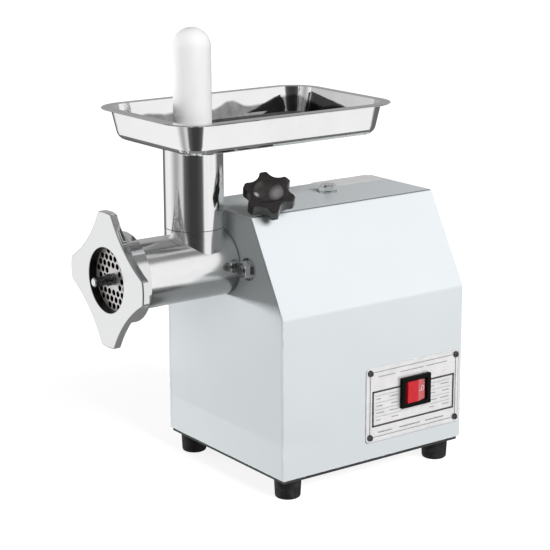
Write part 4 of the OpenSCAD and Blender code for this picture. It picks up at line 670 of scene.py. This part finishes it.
class GRINDER_OT_name_plate(GrinderOperator, bpy.types.Operator):
    """Finish the name plate and print its blank ruled table"""
    bl_idname = "grinder.name_plate"
    bl_label = "Name plate"

    def make(self, colours, sizes):
        wear(etched_plate("name_plate_finish", colours.plate), "name_plate")
        low, high = PLATE
        width, tall, x = high.y - low.y, high.z - low.z, high.x
        bm = shape()

        def strip(y0, z0, y1, z1, thick):
            y_from, z_from = low.y + y0 * width, low.z + z0 * tall
            y_to, z_to = low.y + y1 * width, low.z + z1 * tall
            half = thick / 2
            add_block(bm, (x - 0.00002, min(y_from, y_to) - half, min(z_from, z_to) - half),
                      (x + 0.00005, max(y_from, y_to) + half, max(z_from, z_to) + half))

        def frame_line(y0, z0, y1, z1, thick):
            for a in (z0, z1):
                strip(y0, a, y1, a, thick)
            for a in (y0, y1):
                strip(a, z0, a, z1, thick)

        frame_line(0.070, 0.21, 0.935, 0.672, sizes.ink)
        add_piece("plate_frame", bm, "housing", printed_ink("plate_ink_finish", colours.ink),
                  smooth=False)
        bm = shape()
        frame_line(0.04, 0.062, 0.96, 0.938, sizes.ink * 0.35)
        for left, right in ((0.10, 0.35), (0.67, 0.90)):
            for row in range(sizes.rules):
                z = 0.615 - row * 0.095
                strip(left, z, right, z, sizes.ink * 0.14)
                # Short bars stand for the entries
                strip(left + 0.01, z - 0.045, left + 0.05 + 0.018 * (row % 3), z - 0.045, sizes.ink * 0.4)
                strip(right - 0.10 + 0.02 * (row % 2), z - 0.045, right - 0.015, z - 0.045, sizes.ink * 0.4)
        for y0, y1 in ((0.13, 0.30), (0.36, 0.60), (0.64, 0.86)):
            strip(y0, 0.87, y1, 0.87, sizes.ink * 0.35)
            strip(y0, 0.115, y1 - 0.03, 0.115, sizes.ink * 0.6)
        add_piece("plate_print", bm, "housing", printed_ink("thin_ink_finish", tuple(c + 0.25 for c in colours.ink)),
                  smooth=False)


class GRINDER_OT_switch(GrinderOperator, bpy.types.Operator):
    """Finish the switch and mould its two marks into the rocker"""
    bl_idname = "grinder.switch"
    bl_label = "Rocker switch"

    def make(self, colours, sizes):
        wear(moulded_plastic("switch_case_finish", (0.006, 0.006, 0.006), 0.45, 0.6, specular=0.06), "switch_body")
        f = Finish("rocker_finish")
        flow = f.noise(0.006, detail=2.0)
        # The half with the marks is paler, as if it faced the light
        pale = f.spread(f.place_along("Y"), 0.0, 1.0, self.ridge() + 0.0001, self.ridge() + 0.0004)
        f.set(base=f.mix(pale, f.shade(f.spread(flow, 0.0, 1.0), colours.rocker, 0.92, 1.1),
                         tuple(c * 0.86 + 0.17 for c in colours.rocker)), roughness=f.spread(flow, 0.2, 0.28),
              specular=0.4, scatter=0.2, scatter_radius=(1.0, 0.12, 0.08), scatter_scale=0.0015)
        f.bump(f.noise(0.0008), 0.000006)
        wear(f.material, "rocker")
        marks = moulded_plastic("mark_finish", (0.86, 0.82, 0.80), 0.3, 0.4)
        bm = shape()
        middle, normal = self.half(1)
        across = Vector((0, 0, 1)).cross(normal).normalized()
        centre = middle + across * 0.0016 + Vector((0, 0, 0.0006))
        ring = [(0.0018, -0.0001), (0.0018, 0.00004), (0.0025, 0.00004), (0.0025, -0.0001)]
        add_turned(bm, ring, centre, normal, (0, 0, 1), steps=32)
        dash = middle - across * 0.0030 - Vector((0, 0, 0.0006))
        turn = Matrix((across, Vector((0, 0, 1)), normal)).transposed().to_4x4()
        bmesh.ops.create_cube(bm, size=1.0, matrix=Matrix.Translation(dash) @ turn
                              @ Matrix.Diagonal((0.0013, 0.0015, 0.00008, 1)))
        add_piece("rocker_marks", bm, "rocker", marks, smooth=False)

    def ridge(self):
        return max((v.co for v in NODES["rocker"].data.vertices), key=lambda c: c.x).y

    def half(self, side):
        """Middle and direction of the rocker's face on one side of its ridge."""
        mesh = NODES["rocker"].data
        ridge = self.ridge()
        centre, normal, area = Vector(), Vector(), 0.0
        for poly in mesh.polygons:
            if poly.normal.x > 0.9 and (poly.center.y - ridge) * side > 0:
                centre += poly.center * poly.area
                normal += poly.normal * poly.area
                area += poly.area
        if not area:
            raise RuntimeError("the rocker has no face on one side of its ridge")
        return centre / area, normal.normalized()


class GRINDER_OT_roof(GrinderOperator, bpy.types.Operator):
    """Stick the blank label on the roof"""
    bl_idname = "grinder.roof"
    bl_label = "Roof label"

    def make(self, colours, sizes):
        bolt = (BOLT[0] + BOLT[1]) / 2
        width, x0, y0, z = 0.024, bolt.x - 0.040, HOUSING[0].y + 0.123, HOUSING[1].z
        bm = shape()
        add_block(bm, (x0, y0, z - 0.00005), (x0 + width, y0 + sizes.label, z + 0.00012))
        corners = [e for e in bm.edges if abs(e.verts[0].co.z - e.verts[1].co.z) > 1e-5]
        bmesh.ops.bevel(bm, geom=corners, offset=0.002, affect="EDGES", segments=4, profile=0.5, material=-1)
        finish = moulded_plastic("label_finish", (0.93, 0.92, 0.92), 0.1, 0.2, contrast=0.04)
        add_piece("roof_label", bm, "housing", finish, smooth=False)


class GRINDER_OT_head(GrinderOperator, bpy.types.Operator):
    """Polish the head and its feed tube, and lay the bead between them"""
    bl_idname = "grinder.head"
    bl_label = "Head and feed tube"

    def make(self, colours, sizes):
        wear(polished_casting("head_finish", colours.casting), "barrel")
        wear(drawn_tube("feed_tube_finish", colours.steel), "feed_tube")
        half = sizes.weld / 2
        ring = [(TUBE_R - half + half * 1.8 * math.cos(a), half * 1.3 * math.sin(a))
                for a in (math.radians(30 * k) for k in range(12))]
        bm = shape()
        add_turned(bm, ring, (0, TUBE_Y, TUBE[0].z), (0, 0, 1), (1, 0, 0), steps=96)
        add_piece("tube_weld", bm, "head", weld_bead("weld_finish", colours.dark_steel))


class GRINDER_OT_cutters(GrinderOperator, bpy.types.Operator):
    """Finish the ring nut, the grinding plate, the knife and the auger"""
    bl_idname = "grinder.cutters"
    bl_label = "Ring nut, cutters and auger"

    def make(self, colours, sizes):
        face = RING[0].y
        add_rounded("ring_nut", sizes.ring_edge, 3, "ring", satin_ring("ring_finish", colours.ring),
                    lambda e: all(abs(v.co.y - face) < 1e-4 for v in e.verts))
        wear(turned_pin("pin_finish", colours.dark_steel, colours.steel), "auger_pin")
        # The holes and sides of the plate and knife are nearly black, a painted shade
        wear(turned_steel("cutter_finish", colours.cutter, 0.30, 0.44, metal=0.6, sides=HOLE_SHADE),
             "grinding_plate", "knife")
        wear(cast_metal("auger_finish", (0.66, 0.67, 0.68), 0.24, 0.4, 0.002), "auger")
        wear(moulded_plastic("washer_finish", (0.80, 0.80, 0.78), 0.4, 0.55), "auger_washer")


class GRINDER_OT_tray(GrinderOperator, bpy.types.Operator):
    """Polish the tray"""
    bl_idname = "grinder.tray"
    bl_label = "Tray"

    def make(self, colours, sizes):
        wear(pressed_tray("tray_finish", colours.tray), "tray")


class GRINDER_OT_pusher(GrinderOperator, bpy.types.Operator):
    """Finish the pusher"""
    bl_idname = "grinder.pusher"
    bl_label = "Pusher"

    def make(self, colours, sizes):
        wear(milky_plastic("pusher_finish", colours.pusher), "pusher")


class GRINDER_OT_knob(GrinderOperator, bpy.types.Operator):
    """Finish the clamp knob"""
    bl_idname = "grinder.knob"
    bl_label = "Clamp knob"

    def make(self, colours, sizes):
        add_rounded("clamp_knob", sizes.knob_edge, 4, "knob",
                    dished_plastic("knob_finish", colours.knob, colours.knob_gleam, 0.16, 0.24),
                    lambda e: True)


class GRINDER_OT_gland(GrinderOperator, bpy.types.Operator):
    """Finish the cable gland and its nut"""
    bl_idname = "grinder.gland"
    bl_label = "Cable gland"

    def make(self, colours, sizes):
        wear(moulded_plastic("gland_finish", (0.035, 0.035, 0.038), 0.4, 0.55), "cable_gland", "gland_nut")


class GRINDER_OT_gearbox(GrinderOperator, bpy.types.Operator):
    """Finish the gearbox, its gears and its bearings"""
    bl_idname = "grinder.gearbox"
    bl_label = "Gearbox"

    def make(self, colours, sizes):
        wear(cast_metal("gearbox_finish", (0.52, 0.54, 0.56)), "gearbox_case", "gearbox_cover", "motor_end_shield")
        wear(fibre_sheet("gasket_finish", (0.22, 0.27, 0.18)), "gearbox_gasket")
        wear(oiled_steel("gear_finish", (0.42, 0.41, 0.39)), "output_shaft", "output_gear", "idler_shaft", "idler_gear",
             "rotor_shaft")
        wear(turned_steel("bearing_finish", (0.60, 0.62, 0.65), 0.14, 0.22), "output_bearings", "idler_bearings",
             "motor_bearings")


class GRINDER_OT_motor(GrinderOperator, bpy.types.Operator):
    """Finish the motor, its capacitor and its terminal block"""
    bl_idname = "grinder.motor"
    bl_label = "Motor"

    def make(self, colours, sizes):
        wear(lamination_stack("core_finish", (0.30, 0.31, 0.32)), "rotor_core", "stator_core")
        wear(wound_copper("winding_finish", (0.62, 0.30, 0.14)), "stator_windings")
        wear(moulded_plastic("fan_finish", (0.05, 0.05, 0.055), 0.35, 0.5), "fan", "capacitor")
        wear(moulded_plastic("block_finish", (0.70, 0.67, 0.55), 0.4, 0.5), "terminal_block")


# ------------------------------------------------------------------ studio

def plain_shader(name, build):
    material = bpy.data.materials.new(name)
    material.use_nodes = True
    tree = material.node_tree
    tree.nodes.clear()
    tree.links.new(build(tree), tree.nodes.new("ShaderNodeOutputMaterial").inputs["Surface"])
    return material


def calculate(tree, how, a, b=None):
    made = tree.nodes.new("ShaderNodeMath")
    made.operation = how
    for socket, item in zip(made.inputs, (a, b)):
        if isinstance(item, bpy.types.NodeSocket):
            tree.links.new(item, socket)
        elif item is not None:
            socket.default_value = item
    return made.outputs[0]


def carry(tree, value, start, end, low, high):
    """Carries start...end smoothly to low...high."""
    made = tree.nodes.new("ShaderNodeMapRange")
    made.interpolation_type = "SMOOTHSTEP"
    for key, item in (("Value", value), ("From Min", start), ("From Max", end), ("To Min", low), ("To Max", high)):
        if isinstance(item, bpy.types.NodeSocket):
            tree.links.new(item, made.inputs[key])
        else:
            made.inputs[key].default_value = item
    return made.outputs["Result"]


def seen_by(tree):
    """Two switches: what the camera sees, through plastic too, and what the object's metal reflects."""
    rays = tree.nodes.new("ShaderNodeLightPath")
    straight = calculate(tree, "MAXIMUM", rays.outputs["Is Camera Ray"], rays.outputs["Is Transmission Ray"])
    first = calculate(tree, "LESS_THAN", rays.outputs["Diffuse Depth"], 0.5)
    return (calculate(tree, "MULTIPLY", straight, first),
            calculate(tree, "MULTIPLY", rays.outputs["Is Glossy Ray"], first))


def steps_ramp(tree, value, stops):
    """A brightness that follows stops, given as (degrees, brightness), round the full turn."""
    ramp = tree.nodes.new("ShaderNodeValToRGB")
    tree.links.new(value, ramp.inputs["Fac"])
    elements = ramp.color_ramp.elements
    while len(elements) < len(stops):
        elements.new(0.5)
    for element, (degrees, level) in zip(elements, stops):
        element.position = (degrees + 180) / 360
        element.color = (level, level, level, 1)
    return ramp.outputs["Color"]


def stage_sheet(name, size, matrix, material):
    bm = bmesh.new()
    bmesh.ops.create_grid(bm, x_segments=1, y_segments=1, size=0.5, matrix=matrix @ Matrix.Diagonal((*size, 1, 1)))
    mesh = bpy.data.meshes.new(name)
    bm.to_mesh(mesh)
    bm.free()
    mesh.materials.append(material)
    sheet = bpy.data.objects.new(name, mesh)
    bpy.context.scene.collection.objects.link(sheet)
    return sheet


def facing_matrix(place, toward):
    """A place whose Z axis points toward a spot, with X kept level."""
    back = (Vector(toward) - Vector(place)).normalized()
    right = Vector((0, 0, 1)).cross(back).normalized()
    up = back.cross(right)
    turn = Matrix((right, up, back)).transposed().to_4x4()
    return Matrix.Translation(place) @ turn


def direction(azimuth, elevation):
    a, e = math.radians(azimuth), math.radians(elevation)
    return Vector((math.sin(a) * math.cos(e), -math.cos(a) * math.cos(e), math.sin(e)))


def round_about(target, azimuth, elevation, distance):
    return Vector(target) + distance * direction(azimuth, elevation)


class GRINDER_OT_stage(bpy.types.Operator):
    """Set out the floor, the card, the lamps, the world and the camera"""
    bl_idname = "grinder.stage"
    bl_label = "Studio"

    def execute(self, context):
        scene, studio = context.scene, context.scene.grinder_studio
        middle = Vector((0, 0.03, 0.17))

        def floor_shader(tree):
            diffuse = tree.nodes.new("ShaderNodeBsdfDiffuse")
            diffuse.inputs["Color"].default_value = (*(studio.floor,) * 3, 1)
            spot = tree.nodes.new("ShaderNodeTexCoord")
            far = tree.nodes.new("ShaderNodeVectorMath")
            far.operation = "LENGTH"
            tree.links.new(spot.outputs["Object"], far.inputs[0])
            glow = tree.nodes.new("ShaderNodeEmission")
            camera = seen_by(tree)[0]
            bright = carry(tree, far.outputs["Value"], 0.2, 0.75, 0.85, 1.0)
            tree.links.new(calculate(tree, "MULTIPLY", camera, bright), glow.inputs["Strength"])
            both = tree.nodes.new("ShaderNodeAddShader")
            tree.links.new(diffuse.outputs[0], both.inputs[0])
            tree.links.new(glow.outputs[0], both.inputs[1])
            return both.outputs[0]

        floor = stage_sheet("floor", (60, 60), Matrix.Identity(4), plain_shader("floor_finish", floor_shader))
        floor.visible_glossy = False

        def card_shader(tree):
            glow = tree.nodes.new("ShaderNodeEmission")
            glow.inputs["Strength"].default_value = CARD_LEVEL
            return glow.outputs[0]

        card = stage_sheet("card_under", (0.34, 0.22), Matrix.Translation((0.02, CAD_BOX[0].y + 0.07, 0.05)),
                           plain_shader("card_finish", card_shader))
        card.visible_camera = card.visible_diffuse = card.visible_shadow = False
        card.visible_transmission = card.visible_volume_scatter = False

        for name, azimuth, elevation, size, power in (("key", 97, 31, (1.2, 0.9), studio.key),
                                                      ("front", -57, -1, (1.5, 0.24), studio.fill),
                                                      ("camera_side", 25, 12, (1.4, 0.8), studio.soft)):
            lamp = bpy.data.lights.new(name, "AREA")
            lamp.shape, lamp.energy = "RECTANGLE", power
            lamp.size, lamp.size_y = size
            lamp.use_nodes = True
            tree = lamp.node_tree
            rays = tree.nodes.new("ShaderNodeLightPath")
            # The lamps light only straight on, never by way of a diffuse surface
            first = calculate(tree, "LESS_THAN", rays.outputs["Diffuse Depth"], 0.5)
            tree.links.new(first, tree.nodes["Emission"].inputs["Strength"])
            light = bpy.data.objects.new(name, lamp)
            light.matrix_world = facing_matrix(round_about(middle, azimuth, elevation, 2.2),
                                               round_about(middle, azimuth, elevation, 3.2))
            light.visible_glossy = False
            scene.collection.objects.link(light)

        world = scene.world or bpy.data.worlds.new("studio")
        scene.world = world
        world.use_nodes = True
        tree = world.node_tree
        tree.nodes.clear()
        split = tree.nodes.new("ShaderNodeSeparateXYZ")
        tree.links.new(tree.nodes.new("ShaderNodeTexCoord").outputs["Generated"], split.inputs[0])
        x, y, z = split.outputs
        # Azimuth from the camera's side, -0.5 to 0.5 of a turn, as a share of the full turn
        azimuth = calculate(tree, "ARCTAN2", x, calculate(tree, "MULTIPLY", y, -1.0))
        turned = calculate(tree, "ADD", calculate(tree, "DIVIDE", azimuth, 2 * math.pi),
                           1.5 - CAMERA_AZIMUTH / 360)
        around = calculate(tree, "FRACT", turned)
        dark = studio.card
        level = steps_ramp(tree, around, (
            (-180, 0.16), (-140, 0.18), (-127, 1.1), (-98, 1.1), (-84, 0.8), (-72, 0.5), (-60, 0.5), (-50, 0.78),
            (-40, 0.80), (-35, 0.3), (-30, 0.13), (-10, dark), (15, dark), (30, 0.10), (36, 0.15), (40, 0.4),
            (44, 1.1), (94, 1.1), (102, 0.5), (108, 0.18), (180, 0.16)))
        behind = calculate(tree, "ABSOLUTE", calculate(tree, "SUBTRACT", around, 0.5))
        back = calculate(tree, "MULTIPLY", carry(tree, behind, 0.27, 0.31, 0.0, 1.0),
                         carry(tree, z, -0.1, 0.05, 0.0, 1.0))
        # One plain level each for the far side, overhead and underfoot
        for mask, value in ((back, 0.5), (carry(tree, z, 0.52, 0.66, 0.0, 1.0), 0.30),
                            (carry(tree, z, -0.82, -0.88, 0.0, 1.0), 0.26)):
            mix = tree.nodes.new("ShaderNodeMix")
            tree.links.new(mask, mix.inputs[0])
            tree.links.new(level, mix.inputs[2])
            mix.inputs[3].default_value = value
            level = mix.outputs[0]
        camera, metal = seen_by(tree)
        total = calculate(tree, "ADD", calculate(tree, "MULTIPLY", metal, level), camera)
        neither = calculate(tree, "SUBTRACT", 1.0, calculate(tree, "MAXIMUM", metal, camera))
        total = calculate(tree, "ADD", total, calculate(tree, "MULTIPLY", neither, studio.ambient))
        glow = tree.nodes.new("ShaderNodeBackground")
        tree.links.new(total, glow.inputs["Strength"])
        tree.links.new(glow.outputs[0], tree.nodes.new("ShaderNodeOutputWorld").inputs["Surface"])

        scene.view_settings.view_transform = "Standard"
        lens = bpy.data.cameras.new("camera")
        lens.lens, lens.sensor_width = studio.lens, 36.0
        lens.clip_start, lens.clip_end = 0.05, 100.0
        camera = bpy.data.objects.new("camera", lens)
        a = math.radians(CAMERA_AZIMUTH)
        back = direction(CAMERA_AZIMUTH, CAMERA_ELEVATION)
        right = Vector((math.cos(a), math.sin(a), 0))
        turn = Matrix((right, back.cross(right), back)).transposed().to_4x4()
        camera.matrix_world = (Matrix.Translation(CAMERA_PLACE) @ turn
                               @ Matrix.Rotation(math.radians(CAMERA_ROLL), 4, "Z"))
        scene.collection.objects.link(camera)
        scene.camera = camera
        return {"FINISHED"}


STEPS = (GRINDER_OT_housing, GRINDER_OT_feet, GRINDER_OT_fasteners, GRINDER_OT_name_plate, GRINDER_OT_switch,
         GRINDER_OT_roof, GRINDER_OT_head, GRINDER_OT_cutters, GRINDER_OT_tray, GRINDER_OT_pusher, GRINDER_OT_knob,
         GRINDER_OT_gland, GRINDER_OT_gearbox, GRINDER_OT_motor, GRINDER_OT_stage)
GROUPS = {"grinder_colours": GrinderColours, "grinder_sizes": GrinderSizes, "grinder_studio": GrinderStudio}


class GRINDER_PT_panel(bpy.types.Panel):
    """Lists the grinder's steps and settings"""
    bl_idname = "GRINDER_PT_panel"
    bl_label = "Meat grinder"
    bl_space_type = "VIEW_3D"
    bl_region_type = "UI"
    bl_category = "Grinder"

    def draw(self, context):
        for step in STEPS:
            self.layout.operator(step.bl_idname)
        for name in GROUPS:
            box = self.layout.box()
            settings = getattr(context.scene, name)
            for key in settings.__annotations__:
                box.prop(settings, key)


def register():
    for group in GROUPS.values():
        bpy.utils.register_class(group)
    for name, group in GROUPS.items():
        setattr(bpy.types.Scene, name, PointerProperty(type=group))
    for step in STEPS:
        bpy.utils.register_class(step)
    bpy.utils.register_class(GRINDER_PT_panel)


def unregister():
    bpy.utils.unregister_class(GRINDER_PT_panel)
    for step in reversed(STEPS):
        bpy.utils.unregister_class(step)
    for name, group in GROUPS.items():
        delattr(bpy.types.Scene, name)
        bpy.utils.unregister_class(group)


def main():
    register()
    for step in STEPS:
        family, name = step.bl_idname.split(".")
        getattr(getattr(bpy.ops, family), name)()


if __name__ == "__main__":
    main()
